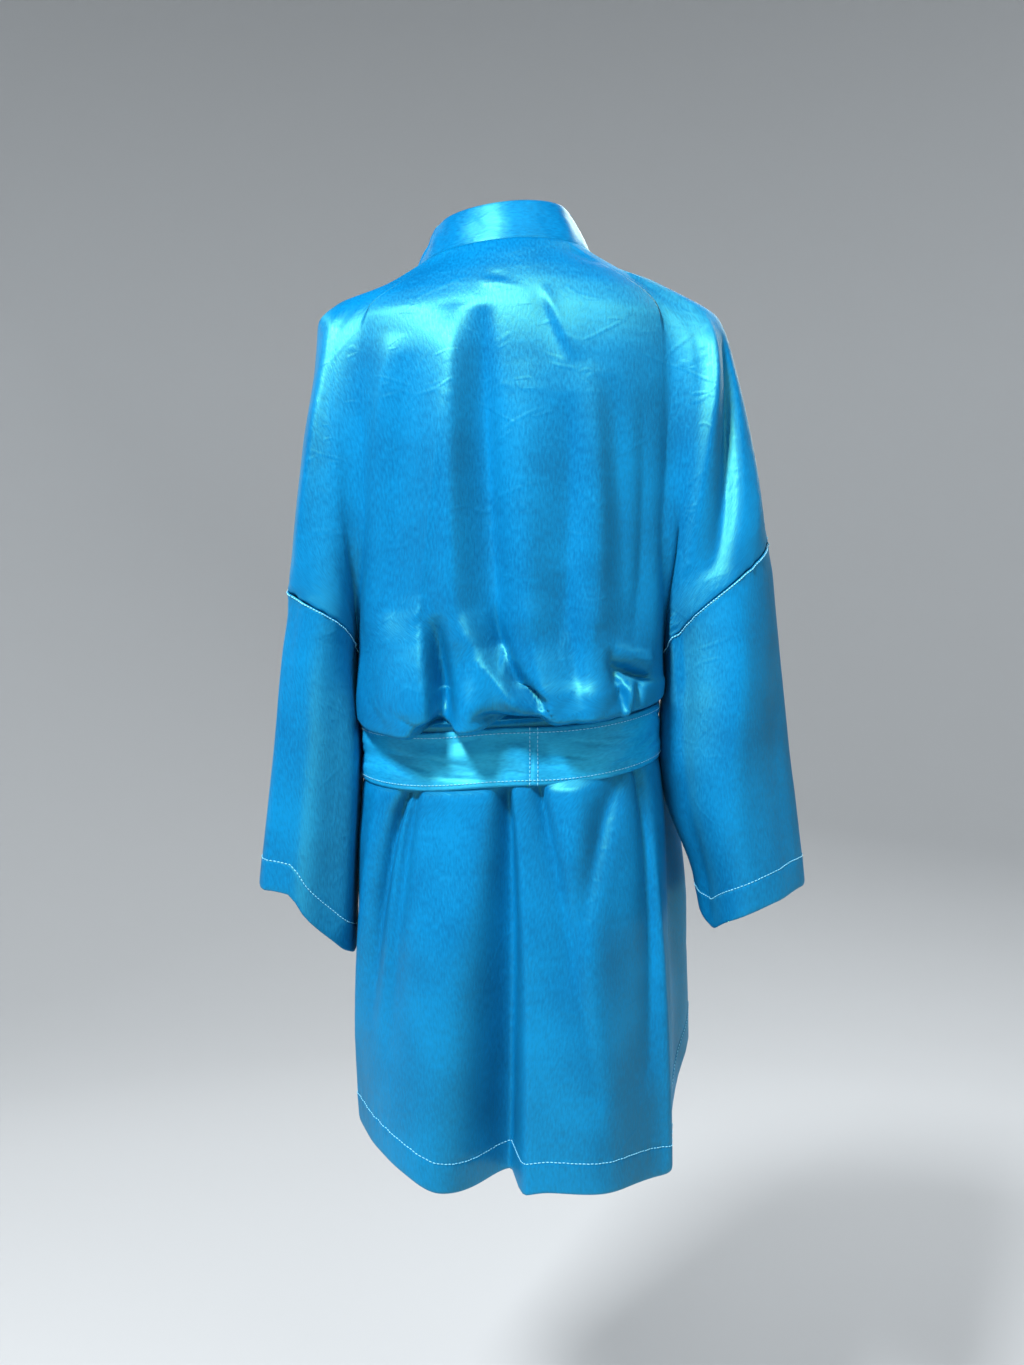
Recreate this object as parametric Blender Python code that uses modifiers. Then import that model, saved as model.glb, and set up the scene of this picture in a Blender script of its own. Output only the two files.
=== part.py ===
"""A short satin kimono robe, filled out as if worn, with its sash tied at the front.

Metres. +Z is up, +Y is the back of the robe and +X is the wearer's left. z = 0 is the
level of the side neck points, where the shoulders hold the robe up. Left and right are
the wearer's. Every panel is one wall of cloth: an outer surface worked out from the
tables below, with its thickness laid inwards.
"""

import math

import bmesh
import bpy
import numpy as np

# Driving sizes
CLOTH_WALL = 0.0016
BAND_WALL = 0.0022
SEAM_GAP = 0.0003
BAND_GAP = 0.0009
STAND_GAP = 0.0015
SLEEVE_GAP = 0.0012
UNDERARM_Z = -0.380
BAND_WIDTH = 0.050
SASH_WIDTH = 0.053
SASH_Z = -0.4785
SASH_CLEARANCE = 0.0018
SASH_WALL = 0.0020
UNDERLAP_DROP = 0.0042
UNDERLAP_SLACK = 0.0028
KNOT_HALF = (0.026, 0.013, 0.0225)
KNOT_Z = -0.4750
FURROW_OPENING = 0.06
CHART_RADIUS = 0.130
ARM_CHART_RADIUS = 0.058
SQUARENESS = 2.2

# The body of the robe from the neck to the underarm: half widths to each side, and
# how deep it is behind and in front of the side line.
UPPER_BODY = (
    ("z", "left", "right", "back", "front", "square"),
    (
        (0.006, 0.087, 0.076, 0.066, 0.010, 2.0),
        (-0.004, 0.097, 0.085, 0.073, 0.020, 1.9),
        (-0.012, 0.115, 0.098, 0.078, 0.032, 1.8),
        (-0.020, 0.137, 0.116, 0.082, 0.043, 1.8),
        (-0.030, 0.157, 0.141, 0.087, 0.055, 1.8),
        (-0.045, 0.167, 0.160, 0.093, 0.070, 1.9),
        (-0.070, 0.168, 0.168, 0.100, 0.086, 2.1),
        (-0.110, 0.167, 0.169, 0.106, 0.101, 2.2),
        (-0.180, 0.162, 0.166, 0.111, 0.116, 2.2),
        (-0.250, 0.157, 0.159, 0.114, 0.123, 2.2),
        (-0.310, 0.152, 0.152, 0.117, 0.121, 2.2),
        (-0.380, 0.149, 0.147, 0.120, 0.117, 2.2),
    ),
)
# The same below the underarm, a row for each station: the body blouses over the sash,
# is drawn in under it and falls free to the hem. Sash says how far a row follows the
# sash's tilt.
LOWER_BODY = (
    ("station", "z", "left", "right", "back", "front", "sash"),
    (
        (0.0, -0.3800, 0.1490, 0.1470, 0.1200, 0.1170, 0.0),
        (1.0, -0.4080, 0.1510, 0.1475, 0.1280, 0.1210, 0.3),
        (2.0, -0.4310, 0.1520, 0.1490, 0.1340, 0.1240, 0.8),
        (2.8, -0.4510, 0.1510, 0.1480, 0.1300, 0.1210, 1.0),
        (3.3, -0.4545, 0.1490, 0.1455, 0.1190, 0.1140, 1.0),
        (3.7, -0.4460, 0.1455, 0.1437, 0.1050, 0.1060, 1.0),
        (4.1, -0.4480, 0.1433, 0.1413, 0.0978, 0.0998, 1.0),
        (4.5, -0.4590, 0.1425, 0.1405, 0.0970, 0.0990, 1.0),
        (5.2, -0.4970, 0.1425, 0.1405, 0.0970, 0.0990, 1.0),
        (5.7, -0.5120, 0.1440, 0.1422, 0.0990, 0.1010, 1.0),
        (6.4, -0.5280, 0.1470, 0.1470, 0.1055, 0.1070, 0.9),
        (7.4, -0.5700, 0.1500, 0.1500, 0.1150, 0.1150, 0.6),
        (9.0, -0.6600, 0.1490, 0.1520, 0.1240, 0.1230, 0.2),
        (11.0, -0.7700, 0.1480, 0.1560, 0.1270, 0.1270, 0.0),
        (12.7, -0.8660, 0.1440, 0.1550, 0.1270, 0.1290, 0.0),
    ),
)
SASH_STATION = 4.9

# The arms and sleeves: how far out and in they reach on each side, how deep they are,
# and where the furrow between arm and body lies.
ARMS = (
    ("z", "out_left", "in_left", "out_right", "in_right", "depth", "furrow_left", "furrow_right", "blend"),
    (
        (0.006, 0.080, 0.050, 0.068, 0.040, 0.010, 0.060, 0.050, 0.008),
        (-0.012, 0.119, 0.080, 0.096, 0.070, 0.017, 0.078, 0.070, 0.012),
        (-0.030, 0.173, 0.118, 0.143, 0.105, 0.027, 0.118, 0.108, 0.016),
        (-0.060, 0.189, 0.128, 0.203, 0.132, 0.042, 0.152, 0.155, 0.020),
        (-0.095, 0.191, 0.126, 0.215, 0.130, 0.056, 0.162, 0.166, 0.022),
        (-0.180, 0.204, 0.128, 0.232, 0.132, 0.067, 0.160, 0.163, 0.014),
        (-0.280, 0.213, 0.138, 0.251, 0.139, 0.072, 0.154, 0.155, 0.007),
        (-0.340, 0.215, 0.145, 0.256, 0.144, 0.074, 0.150, 0.149, 0.003),
        (-0.380, 0.220, 0.150, 0.260, 0.148, 0.075, 0.1495, 0.1475, 0.001),
        (-0.410, 0.223, 0.1540, 0.263, 0.1510, 0.076, 0.1495, 0.1475, 0.001),
        (-0.440, 0.226, 0.1555, 0.266, 0.1520, 0.077, 0.1495, 0.1475, 0.001),
        (-0.480, 0.231, 0.1520, 0.270, 0.1500, 0.078, 0.1495, 0.1475, 0.001),
        (-0.520, 0.236, 0.1510, 0.275, 0.1580, 0.079, 0.1495, 0.1475, 0.001),
        (-0.600, 0.245, 0.1545, 0.283, 0.179, 0.082, 0.1495, 0.1475, 0.001),
        (-0.680, 0.251, 0.1560, 0.288, 0.193, 0.084, 0.1495, 0.1475, 0.001),
    ),
)
# The sleeve seam's height at the outer and the inner side of each arm.
SLEEVE_SEAMS = {"left": (-0.306, UNDERARM_Z), "right": (-0.267, UNDERARM_Z)}
# The cuff's height round the arm: 0 degrees is its outer side, 90 its back, 180 its
# inner side and 270 its front.
CUFFS = (
    ("turn", "left", "right"),
    (
        (0, -0.599, -0.602),
        (50, -0.598, -0.603),
        (84, -0.604, -0.612),
        (98, -0.628, -0.619),
        (115, -0.647, -0.630),
        (140, -0.665, -0.643),
        (180, -0.673, -0.638),
        (225, -0.654, -0.628),
        (270, -0.622, -0.614),
        (315, -0.601, -0.603),
        (360, -0.599, -0.602),
    ),
)
# How much higher the hem is than its lowest line, by the angle from the middle of the
# back, positive on the left. The fronts hang shorter than the back.
HEM = (
    ("angle", "lift"),
    (
        (-180, 0.022),
        (-125, 0.036),
        (-104, 0.042),
        (-90, 0.004),
        (-70, 0.000),
        (-45, 0.006),
        (-15, 0.009),
        (0, 0.004),
        (15, 0.000),
        (28, 0.003),
        (45, 0.018),
        (60, 0.028),
        (90, 0.038),
        (112, 0.026),
        (180, 0.022),
    ),
)

# How far out on its own side the neckband's seam runs down each front; below zero it
# has crossed the middle.
FRONT_SEAMS = (
    ("z", "left", "right"),
    (
        (0.006, 0.092, 0.079),
        (-0.060, 0.081, 0.070),
        (-0.150, 0.063, 0.055),
        (-0.220, 0.048, 0.042),
        (-0.300, 0.030, 0.026),
        (-0.450, -0.005, -0.005),
        (-0.520, -0.012, -0.012),
        (-0.866, -0.034, -0.034),
    ),
)
# The standing part of the neckband: from one side neck point round the back to the
# other, how high its top edge is and how far it leans in.
STAND = {"seam_middle": 0.005, "seam_half": 0.088, "seam_depth": 0.067,
         "top_middle": 0.0078, "top_half": 0.0645, "top_depth": 0.039,
         "height": 0.0470, "rise_to_right": 0.0010}

# Where a fold starts, passes and ends, how wide it is and how far it stands out there,
# or sinks in if below zero, and how much wider it is to one side.
FOLD_COLUMNS = (
    "at_top", "z_top", "at_mid", "z_mid", "at_low", "z_low",
    "width_top", "width_low", "depth_top", "depth_mid", "depth_low", "lean",
)
# Folds of the back, placed by x.
BACK_FOLDS = (
    (0.062, -0.070, 0.072, -0.190, 0.086, -0.340, 0.014, 0.022, 0.004, 0.013, 0.008, -0.35),
    (0.042, -0.080, 0.042, -0.230, 0.028, -0.390, 0.013, 0.022, -0.004, -0.011, -0.010, 0.20),
    (0.112, -0.100, 0.124, -0.220, 0.133, -0.330, 0.010, 0.015, 0.004, 0.009, 0.004, -0.20),
    (0.094, -0.100, 0.100, -0.230, 0.110, -0.330, 0.010, 0.014, -0.003, -0.007, -0.004, 0.00),
    (-0.028, -0.070, -0.052, -0.160, -0.058, -0.300, 0.009, 0.026, 0.004, 0.006, 0.007, 0.20),
    (-0.118, -0.130, -0.126, -0.260, -0.128, -0.400, 0.012, 0.016, -0.003, -0.011, -0.008, 0.20),
    (-0.100, -0.160, -0.104, -0.280, -0.100, -0.390, 0.012, 0.018, 0.002, 0.007, 0.006, 0.00),
    (0.110, -0.350, 0.104, -0.405, 0.106, -0.455, 0.024, 0.024, 0.004, 0.017, 0.008, 0.10),
    (0.080, -0.350, 0.074, -0.410, 0.056, -0.452, 0.009, 0.010, -0.004, -0.024, -0.018, -0.20),
    (0.050, -0.360, 0.046, -0.415, 0.042, -0.455, 0.017, 0.018, 0.002, 0.017, 0.010, 0.00),
    (0.012, -0.370, -0.006, -0.412, -0.022, -0.448, 0.015, 0.013, -0.004, -0.022, -0.020, 0.30),
    (-0.040, -0.330, -0.048, -0.400, -0.046, -0.455, 0.020, 0.017, 0.002, 0.013, 0.012, 0.20),
    (-0.066, -0.370, -0.070, -0.415, -0.068, -0.450, 0.007, 0.007, -0.002, -0.012, -0.008, 0.00),
    (-0.086, -0.360, -0.088, -0.405, -0.088, -0.440, 0.013, 0.012, 0.002, 0.012, 0.005, 0.00),
    (-0.106, -0.370, -0.112, -0.405, -0.114, -0.430, 0.012, 0.011, -0.002, -0.018, -0.010, 0.00),
    (0.091, -0.500, 0.114, -0.580, 0.132, -0.800, 0.007, 0.020, -0.014, -0.024, -0.016, -0.20),
    (0.108, -0.515, 0.128, -0.640, 0.140, -0.860, 0.008, 0.016, 0.003, 0.008, 0.004, 0.00),
    (0.060, -0.515, 0.064, -0.640, 0.062, -0.900, 0.020, 0.046, 0.002, 0.014, 0.022, 0.00),
    (0.004, -0.500, 0.002, -0.640, 0.013, -0.900, 0.006, 0.028, -0.014, -0.034, -0.072, -0.40),
    (-0.026, -0.500, -0.052, -0.600, -0.072, -0.760, 0.007, 0.020, -0.010, -0.014, -0.004, 0.20),
    (-0.050, -0.530, -0.066, -0.700, -0.072, -0.900, 0.018, 0.042, 0.003, 0.012, 0.016, 0.00),
    (-0.116, -0.500, -0.112, -0.600, -0.092, -0.760, 0.007, 0.018, -0.012, -0.015, -0.004, 0.00),
    (-0.132, -0.520, -0.134, -0.660, -0.138, -0.860, 0.010, 0.016, 0.003, 0.008, 0.010, 0.00),
)
# Folds of the fronts, which the photograph doesn't show: plain, and fewer.
FRONT_FOLDS = (
    (0.106, -0.060, 0.116, -0.220, 0.112, -0.380, 0.014, 0.022, -0.002, -0.010, -0.006, 0.00),
    (-0.106, -0.060, -0.116, -0.220, -0.112, -0.380, 0.014, 0.022, -0.002, -0.010, -0.006, 0.00),
    (0.084, -0.120, 0.090, -0.300, 0.086, -0.450, 0.016, 0.022, 0.002, 0.010, 0.010, 0.00),
    (-0.084, -0.120, -0.090, -0.300, -0.086, -0.450, 0.016, 0.022, 0.002, 0.010, 0.010, 0.00),
    (0.060, -0.380, 0.058, -0.420, 0.056, -0.450, 0.011, 0.010, -0.002, -0.012, -0.010, 0.00),
    (-0.070, -0.380, -0.070, -0.420, -0.068, -0.450, 0.011, 0.010, -0.002, -0.012, -0.010, 0.00),
    (0.126, -0.370, 0.128, -0.415, 0.126, -0.450, 0.012, 0.011, -0.002, -0.014, -0.008, 0.00),
    (-0.122, -0.370, -0.124, -0.415, -0.124, -0.460, 0.012, 0.012, 0.002, 0.008, 0.014, 0.00),
    (0.056, -0.500, 0.074, -0.620, 0.088, -0.900, 0.008, 0.028, -0.012, -0.022, -0.036, -0.20),
    (0.110, -0.520, 0.120, -0.660, 0.126, -0.900, 0.014, 0.032, 0.002, 0.012, 0.018, 0.00),
    (-0.076, -0.500, -0.092, -0.620, -0.104, -0.900, 0.008, 0.026, -0.012, -0.020, -0.030, 0.20),
    (-0.130, -0.512, -0.138, -0.640, -0.140, -0.890, 0.014, 0.023, 0.028, 0.054, 0.062, 0.00),
    (0.010, -0.520, 0.014, -0.660, 0.018, -0.900, 0.020, 0.040, 0.000, 0.008, 0.014, 0.00),
)
# Folds of the arms, placed by the angle from the outer side, 90 degrees at the back and
# -90 at the front.
ARM_FOLDS = {
    "left": (
        (60, -0.060, 60, -0.180, 66, -0.310, 0.008, 0.015, 0.001, 0.009, 0.005, -0.2),
        (84, -0.060, 84, -0.160, 92, -0.300, 0.006, 0.010, -0.004, -0.010, -0.006, 0.0),
        (108, -0.060, 108, -0.160, 114, -0.280, 0.007, 0.010, 0.003, 0.009, 0.004, 0.0),
        (62, -0.320, 66, -0.480, 70, -0.700, 0.011, 0.016, 0.003, 0.010, 0.012, -0.5),
        (30, -0.340, 34, -0.480, 36, -0.700, 0.016, 0.024, -0.002, -0.008, -0.010, 0.0),
        (104, -0.380, 108, -0.480, 112, -0.700, 0.012, 0.020, -0.002, -0.006, -0.008, 0.0),
        (-60, -0.080, -64, -0.300, -60, -0.620, 0.018, 0.028, 0.002, 0.009, 0.010, 0.0),
        (-110, -0.120, -112, -0.300, -116, -0.620, 0.016, 0.024, -0.002, -0.009, -0.008, 0.0),
    ),
    "right": (
        (38, -0.070, 34, -0.180, 38, -0.280, 0.007, 0.012, -0.004, -0.009, -0.005, 0.0),
        (64, -0.060, 62, -0.190, 64, -0.310, 0.008, 0.015, 0.002, 0.010, 0.006, 0.2),
        (90, -0.070, 84, -0.200, 86, -0.320, 0.007, 0.011, -0.005, -0.012, -0.006, 0.0),
        (112, -0.070, 106, -0.200, 108, -0.330, 0.008, 0.013, 0.004, 0.010, 0.006, 0.0),
        (78, -0.330, 88, -0.480, 112, -0.700, 0.016, 0.026, 0.003, 0.012, 0.010, 0.2),
        (128, -0.360, 134, -0.480, 146, -0.620, 0.014, 0.022, -0.003, -0.010, -0.006, 0.0),
        (-60, -0.080, -64, -0.300, -60, -0.620, 0.018, 0.028, 0.002, 0.009, 0.010, 0.0),
        (-110, -0.120, -112, -0.300, -116, -0.620, 0.016, 0.024, -0.002, -0.009, -0.008, 0.0),
    ),
}

# The two ends of the sash below the knot: how far left the middle of each hangs, how
# wide it is and how far it stands off the front.
TAILS = {
    "left": (
        ("station", "middle", "width", "off"),
        (
            (5.54, 0.0120, 0.019, 0.0125),
            (7.00, 0.0200, 0.036, 0.0085),
            (9.00, 0.0290, 0.047, 0.0070),
            (12.1, 0.0360, 0.048, 0.0070),
        ),
    ),
    "right": (
        ("station", "middle", "width", "off"),
        (
            (5.58, -0.0120, 0.019, 0.0130),
            (7.00, -0.0210, 0.036, 0.0090),
            (9.00, -0.0330, 0.047, 0.0070),
            (11.6, -0.0460, 0.048, 0.0075),
        ),
    ),
}

# How finely the walls are divided.
UPPER_ROWS = (0, 0.02, 0.045, 0.075, 0.11, 0.16, 0.23, 0.32, 0.42, 0.53, 0.64, 0.74, 0.83, 0.90, 0.96, 1.0)
LOWER_ROWS = (0.8, 1.6, 2.2, 2.8, 3.1, 3.4, 3.7, 4.1, 4.7, 5.5, 6.1, 6.8, 7.6, 8.6, 9.7, 10.8, 11.8, 12.7)
BACK_COLUMNS = 16
FRONT_COLUMNS = 12
ARM_COLUMNS = 8
SLEEVE_ROWS = 8
BAND_COLUMNS = 3
SASH_COLUMNS = 60
TAIL_ROWS = 12

SATIN_COLOUR = (0.0, 0.30, 0.70)
SATIN_ROUGHNESS = 0.34
SIDES = {"left": 1.0, "right": -1.0}
OTHER = {"left": "right", "right": "left"}
NECK_Z = 0.002
QUARTER = math.pi / 2


def read(table, name, at):
    """The named column of a table as a smooth curve over its first column, without overshoot."""
    names, rows = table
    data = np.array(sorted(rows), float)
    key = data[:, 0]
    value = data[:, names.index(name)]
    rise = np.diff(value) / np.diff(key)
    slope = np.zeros_like(value)
    slope[0], slope[-1] = rise[0], rise[-1]
    same_way = rise[:-1] * rise[1:] > 0
    slope[1:-1][same_way] = (2 * rise[:-1] * rise[1:] / (rise[:-1] + rise[1:] + 1e-12))[same_way]
    at = np.clip(np.asarray(at, float), key[0], key[-1])
    i = np.clip(np.searchsorted(key, at, side="right") - 1, 0, len(key) - 2)
    step = key[i + 1] - key[i]
    t = (at - key[i]) / step
    return (
        (2 * t**3 - 3 * t**2 + 1) * value[i]
        + (t**3 - 2 * t**2 + t) * step * slope[i]
        + (3 * t**2 - 2 * t**3) * value[i + 1]
        + (t**3 - t**2) * step * slope[i + 1]
    )


def ease(t):
    """0 below 0, 1 above 1, and smooth between."""
    t = np.clip(t, 0, 1)
    return t * t * (3 - 2 * t)


def oval_reach(way_x, way_y, half, depth):
    """How far an oval with slightly square shoulders lies from its middle, each way."""
    return (np.abs(way_x / half) ** SQUARENESS + np.abs(way_y / depth) ** SQUARENESS) ** (-1 / SQUARENESS)


def oval_depth(x, half, depth):
    """How deep the same oval is at a distance from its middle."""
    flat = np.clip(np.abs(x) / half, 0, 0.985)
    return depth * (1 - flat**SQUARENESS) ** (1 / SQUARENESS)


def outside_oval(x, y, half, depth, square=SQUARENESS):
    """About how far a point is outside such an oval."""
    reach = (np.abs(x / half) ** square + np.abs(y / depth) ** square) ** (1 / square)
    return (reach - 1) * np.minimum(half, depth)


def arm_centre(side, z):
    return (read(ARMS, "out_" + side, z) + read(ARMS, "in_" + side, z)) / 2


def arm_half(side, z):
    return (read(ARMS, "out_" + side, z) - read(ARMS, "in_" + side, z)) / 2


def inside_upper(side, x, y, z):
    """Whether a point is in the joined form of body and arm, with x counted outwards on one side."""
    half = np.where(x >= 0, read(UPPER_BODY, side, z), read(UPPER_BODY, OTHER[side], z))
    depth = np.where(y > 0, read(UPPER_BODY, "back", z), read(UPPER_BODY, "front", z))
    body = outside_oval(x, y, half, depth, read(UPPER_BODY, "square", z))
    arm = outside_oval(x - arm_centre(side, z), y, arm_half(side, z), read(ARMS, "depth", z))
    blend = read(ARMS, "blend", z)
    share = np.clip(0.5 + 0.5 * (arm - body) / blend, 0, 1)
    return arm + (body - arm) * share - blend * share * (1 - share) < 0


def cast(side, from_x, way_x, way_y, z):
    """How far the joined form lies from a point on the side line, each way, by halving."""
    near = np.zeros(np.broadcast(from_x, way_x, z).shape)
    far = near + 0.30
    for _ in range(24):
        middle = (near + far) / 2
        within = inside_upper(side, from_x + middle * way_x, middle * way_y, z)
        near = np.where(within, middle, near)
        far = np.where(within, far, middle)
    return near


def furrow(side, facing, z, f):
    """The bottom of the furrow between arm and body, which closes at the underarm."""
    x = read(ARMS, "furrow_" + side, z)
    if facing < 0:
        seam = read(FRONT_SEAMS, side, z)
        x = np.maximum(x, seam + 0.45 * (ridge_x(side, z) - seam))
    reach = cast(side, x, 0 * x, facing + 0 * x, z)
    closing = np.sqrt(np.clip(1 - f**7, 0, 1))
    return x, reach * closing


def ridge_x(side, z):
    """How far out the joined form reaches on the side line."""
    return cast(side, 0 * z, 1 + 0 * z, 0 * z, z)


def body_reach(side, angle, z, furrow_x, furrow_y, facing):
    """The body's surface, each angle from the middle, kept on its own side of the furrow."""
    way_x, way_y = np.sin(angle), np.cos(angle)
    joined = cast(side, 0 * angle, way_x, way_y, z)
    towards = way_x + FURROW_OPENING * way_y * facing
    limit = (furrow_x + FURROW_OPENING * furrow_y) / np.maximum(towards, 1e-3)
    beyond = (way_x > 0) & (way_y * facing > -0.2)
    return np.where(beyond, np.minimum(joined, limit), joined)


def arm_reach(side, turn, z, furrow_x, furrow_y):
    """The arm's surface, each turn from its outer side, kept on its own side of the furrow."""
    centre = arm_centre(side, z)
    way_x, way_y = np.cos(turn), np.sin(turn)
    joined = cast(side, centre, way_x, way_y, z)
    towards = FURROW_OPENING * np.abs(way_y) - way_x
    limit = (centre - furrow_x + FURROW_OPENING * furrow_y) / np.maximum(towards, 1e-3)
    return np.where(towards > 1e-3, np.minimum(joined, limit), joined)


def body_size(name, z):
    """A body size at a height, above or below the underarm."""
    names, rows = LOWER_BODY
    falling = [row for i, row in enumerate(rows) if all(row[1] < above[1] for above in rows[:i])]
    by_height = (("z", name), tuple((row[1], row[names.index(name)]) for row in falling))
    return np.where(z > UNDERARM_Z, read(UPPER_BODY, name, z), read(by_height, name, z))


def body_place(depth_name):
    """Turns a fold's x into a distance round the body from the middle of the back or the front."""

    def place(x, z):
        half = np.where(x > 0, body_size("left", z), body_size("right", z))
        y = oval_depth(x, half, body_size(depth_name, z))
        return np.arctan2(x, y) * CHART_RADIUS

    return place


def arm_place(turn, _):
    """Turns a fold's angle into a distance round the arm."""
    return np.radians(turn) * ARM_CHART_RADIUS


def fold_heights(folds, s, z, place):
    """How far the folds stand out, for points at a distance s round and a height z."""
    total = np.zeros(s.shape)
    t = np.linspace(0, 1, 13)
    top, mid, low = 2 * (t - 0.5) * (t - 1), 4 * t * (1 - t), 2 * t * (t - 0.5)
    for values in folds:
        fold = dict(zip(FOLD_COLUMNS, values))
        crest_z = top * fold["z_top"] + mid * fold["z_mid"] + low * fold["z_low"]
        crest_s = place(top * fold["at_top"] + mid * fold["at_mid"] + low * fold["at_low"], crest_z)
        nearest = np.full(s.shape, 9.0)
        side = np.zeros(s.shape)
        along = np.zeros(s.shape)
        for i in range(len(t) - 1):
            run_s, run_z = crest_s[i + 1] - crest_s[i], crest_z[i + 1] - crest_z[i]
            u = np.clip(((s - crest_s[i]) * run_s + (z - crest_z[i]) * run_z) / (run_s**2 + run_z**2), 0, 1)
            off_s, off_z = s - crest_s[i] - u * run_s, z - crest_z[i] - u * run_z
            gap = np.hypot(off_s, off_z)
            closer = gap < nearest
            nearest = np.where(closer, gap, nearest)
            side = np.where(closer, np.sign(off_z * run_s - off_s * run_z), side)
            along = np.where(closer, t[i] + u * (t[i + 1] - t[i]), along)
        width = fold["width_top"] + (fold["width_low"] - fold["width_top"]) * along
        width = width * (1 + fold["lean"] * side)
        depth = (
            fold["depth_top"] * 2 * (along - 0.5) * (along - 1)
            + fold["depth_mid"] * 4 * along * (1 - along)
            + fold["depth_low"] * 2 * along * (along - 0.5)
        )
        total += depth * np.exp(-((nearest / width) ** 1.6))
    return total


def body_folds(x, y, z):
    """How far the body's cloth stands out of its plain form."""
    back = fold_heights(BACK_FOLDS, np.arctan2(x, y) * CHART_RADIUS, z, body_place("back"))
    front = fold_heights(FRONT_FOLDS, np.arctan2(x, -y) * CHART_RADIUS, z, body_place("front"))
    at_back = ease((y + 0.03) / 0.06)
    return back * at_back + front * (1 - at_back)


def push_out(points, amount, centre_x=0.0):
    """Moves points level, away from an upright axis."""
    out = np.stack([points[..., 0] - centre_x, points[..., 1]], axis=-1)
    out = out / np.maximum(np.linalg.norm(out, axis=-1, keepdims=True), 1e-9)
    moved = points.copy()
    moved[..., :2] += out * amount[..., None]
    return moved


def sash_tilt(x, y):
    """The sash sits higher on the wearer's right than on the left, and higher in front."""
    across = x / 0.145
    return -0.0110 * across + 0.0045 * across**2 + 0.010 * ease((0.1 - y) / 0.1)


def shoulder_tilt(points):
    """The neck sits a little askew: lower on the left, higher on the right, above the shoulder blades."""
    x, z = points[..., 0], points[..., 2]
    tilted = points.copy()
    tilted[..., 2] += ease((z + 0.075) / 0.060) * (-0.065 * x - 0.20 * x**2)
    return tilted


def underlap(side, x, z):
    """How far the right front is set in where the left one lies over it."""
    if side == "left":
        return 0 * x
    over = BAND_WIDTH - read(FRONT_SEAMS, "left", z)
    drop = UNDERLAP_DROP + UNDERLAP_SLACK * (ease((-0.53 - z) / 0.10) + ease((z + 0.43) / 0.06))
    return drop * ease((x + over + 0.034) / 0.028)


def edge_angle(across, half, depth):
    """The angle from the middle of the back of a place counted out from the middle of the front."""
    return math.pi - np.arctan2(across, oval_depth(across, half, depth))


def upper_height(f):
    return NECK_Z + (UNDERARM_Z - NECK_Z) * f


def upper_back(side, p, f):
    """The back above the underarm: p runs from the middle to the furrow, f from the neck down."""
    z = upper_height(f)
    furrow_x, furrow_y = furrow(side, 1.0, z, f)
    angle = p * np.arctan2(furrow_x, furrow_y)
    return upper_point(side, angle, z, furrow_x, furrow_y, 1.0, f, p)


def upper_front(side, across, p, f):
    """A front above the underarm: p runs from a place counted out from the middle to the furrow."""
    z = upper_height(f)
    furrow_x, furrow_y = furrow(side, -1.0, z, f)
    half = np.where(across >= 0, read(UPPER_BODY, side, z), read(UPPER_BODY, OTHER[side], z))
    start = edge_angle(across, half, read(UPPER_BODY, "front", z))
    end = math.pi - np.arctan2(furrow_x, furrow_y)
    angle = start + (end - start) * p
    return upper_point(side, angle, z, furrow_x, furrow_y, -1.0, f, p)


def upper_point(side, angle, z, furrow_x, furrow_y, facing, f, p):
    reach = body_reach(side, angle, z, furrow_x, furrow_y, facing)
    at_furrow = p >= 1 - 1e-9
    x = np.where(at_furrow, furrow_x, reach * np.sin(angle)) * SIDES[side]
    y = np.where(at_furrow, facing * np.maximum(furrow_y, SEAM_GAP / 2), reach * np.cos(angle))
    points = np.stack([x, y, z + 0 * x], axis=-1)
    calm = ease((1 - p) * 4) * ease(f * 7)
    amount = body_folds(x, y, z + 0 * x) * calm - underlap(side, x, z + 0 * x) * (facing < 0)
    return shoulder_tilt(push_out(points, amount))


def seam_height(side, turn):
    """The height of the sleeve seam at a turn round the arm."""
    outer, inner = SLEEVE_SEAMS[side]
    return (outer + inner) / 2 + (outer - inner) / 2 * np.cos(turn)


def upper_arm(side, facing, q, f):
    """The panel over the arm: q runs from the furrow to the ridge, f from the neck to the sleeve seam."""
    end_z = seam_height(side, math.pi * (1 - q)) + SEAM_GAP / 2
    z = NECK_Z + (end_z - NECK_Z) * f
    furrow_z = upper_height(f)
    furrow_x, furrow_y = furrow(side, facing, furrow_z, f)
    turn = np.arctan2(furrow_y, furrow_x - arm_centre(side, furrow_z)) * (1 - q)
    reach = arm_reach(side, turn * facing, z, furrow_x, furrow_y)
    centre = arm_centre(side, z)
    at_furrow = q <= 1e-9
    x = np.where(at_furrow, furrow_x, centre + reach * np.cos(turn)) * SIDES[side]
    y = np.where(at_furrow, furrow_y, reach * np.sin(turn)) * facing
    y = facing * np.maximum(np.abs(y), SEAM_GAP / 2)
    z = np.where(at_furrow, furrow_z, z)
    points = np.stack([x, y, z], axis=-1)
    calm = ease(q * 3) * ease(f * 6)
    folds = fold_heights(ARM_FOLDS[side], turn * facing * ARM_CHART_RADIUS, z, arm_place)
    return shoulder_tilt(push_out(points, folds * calm, centre * SIDES[side]))


def waist_reach(angle, station):
    """How far the body reaches below the underarm, by the angle from the middle of the back."""
    way_x, way_y = np.sin(angle), np.cos(angle)
    half = np.where(way_x >= 0, read(LOWER_BODY, "left", station), read(LOWER_BODY, "right", station))
    depth = np.where(way_y >= 0, read(LOWER_BODY, "back", station), read(LOWER_BODY, "front", station))
    return oval_reach(way_x, way_y, half, depth)


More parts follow.
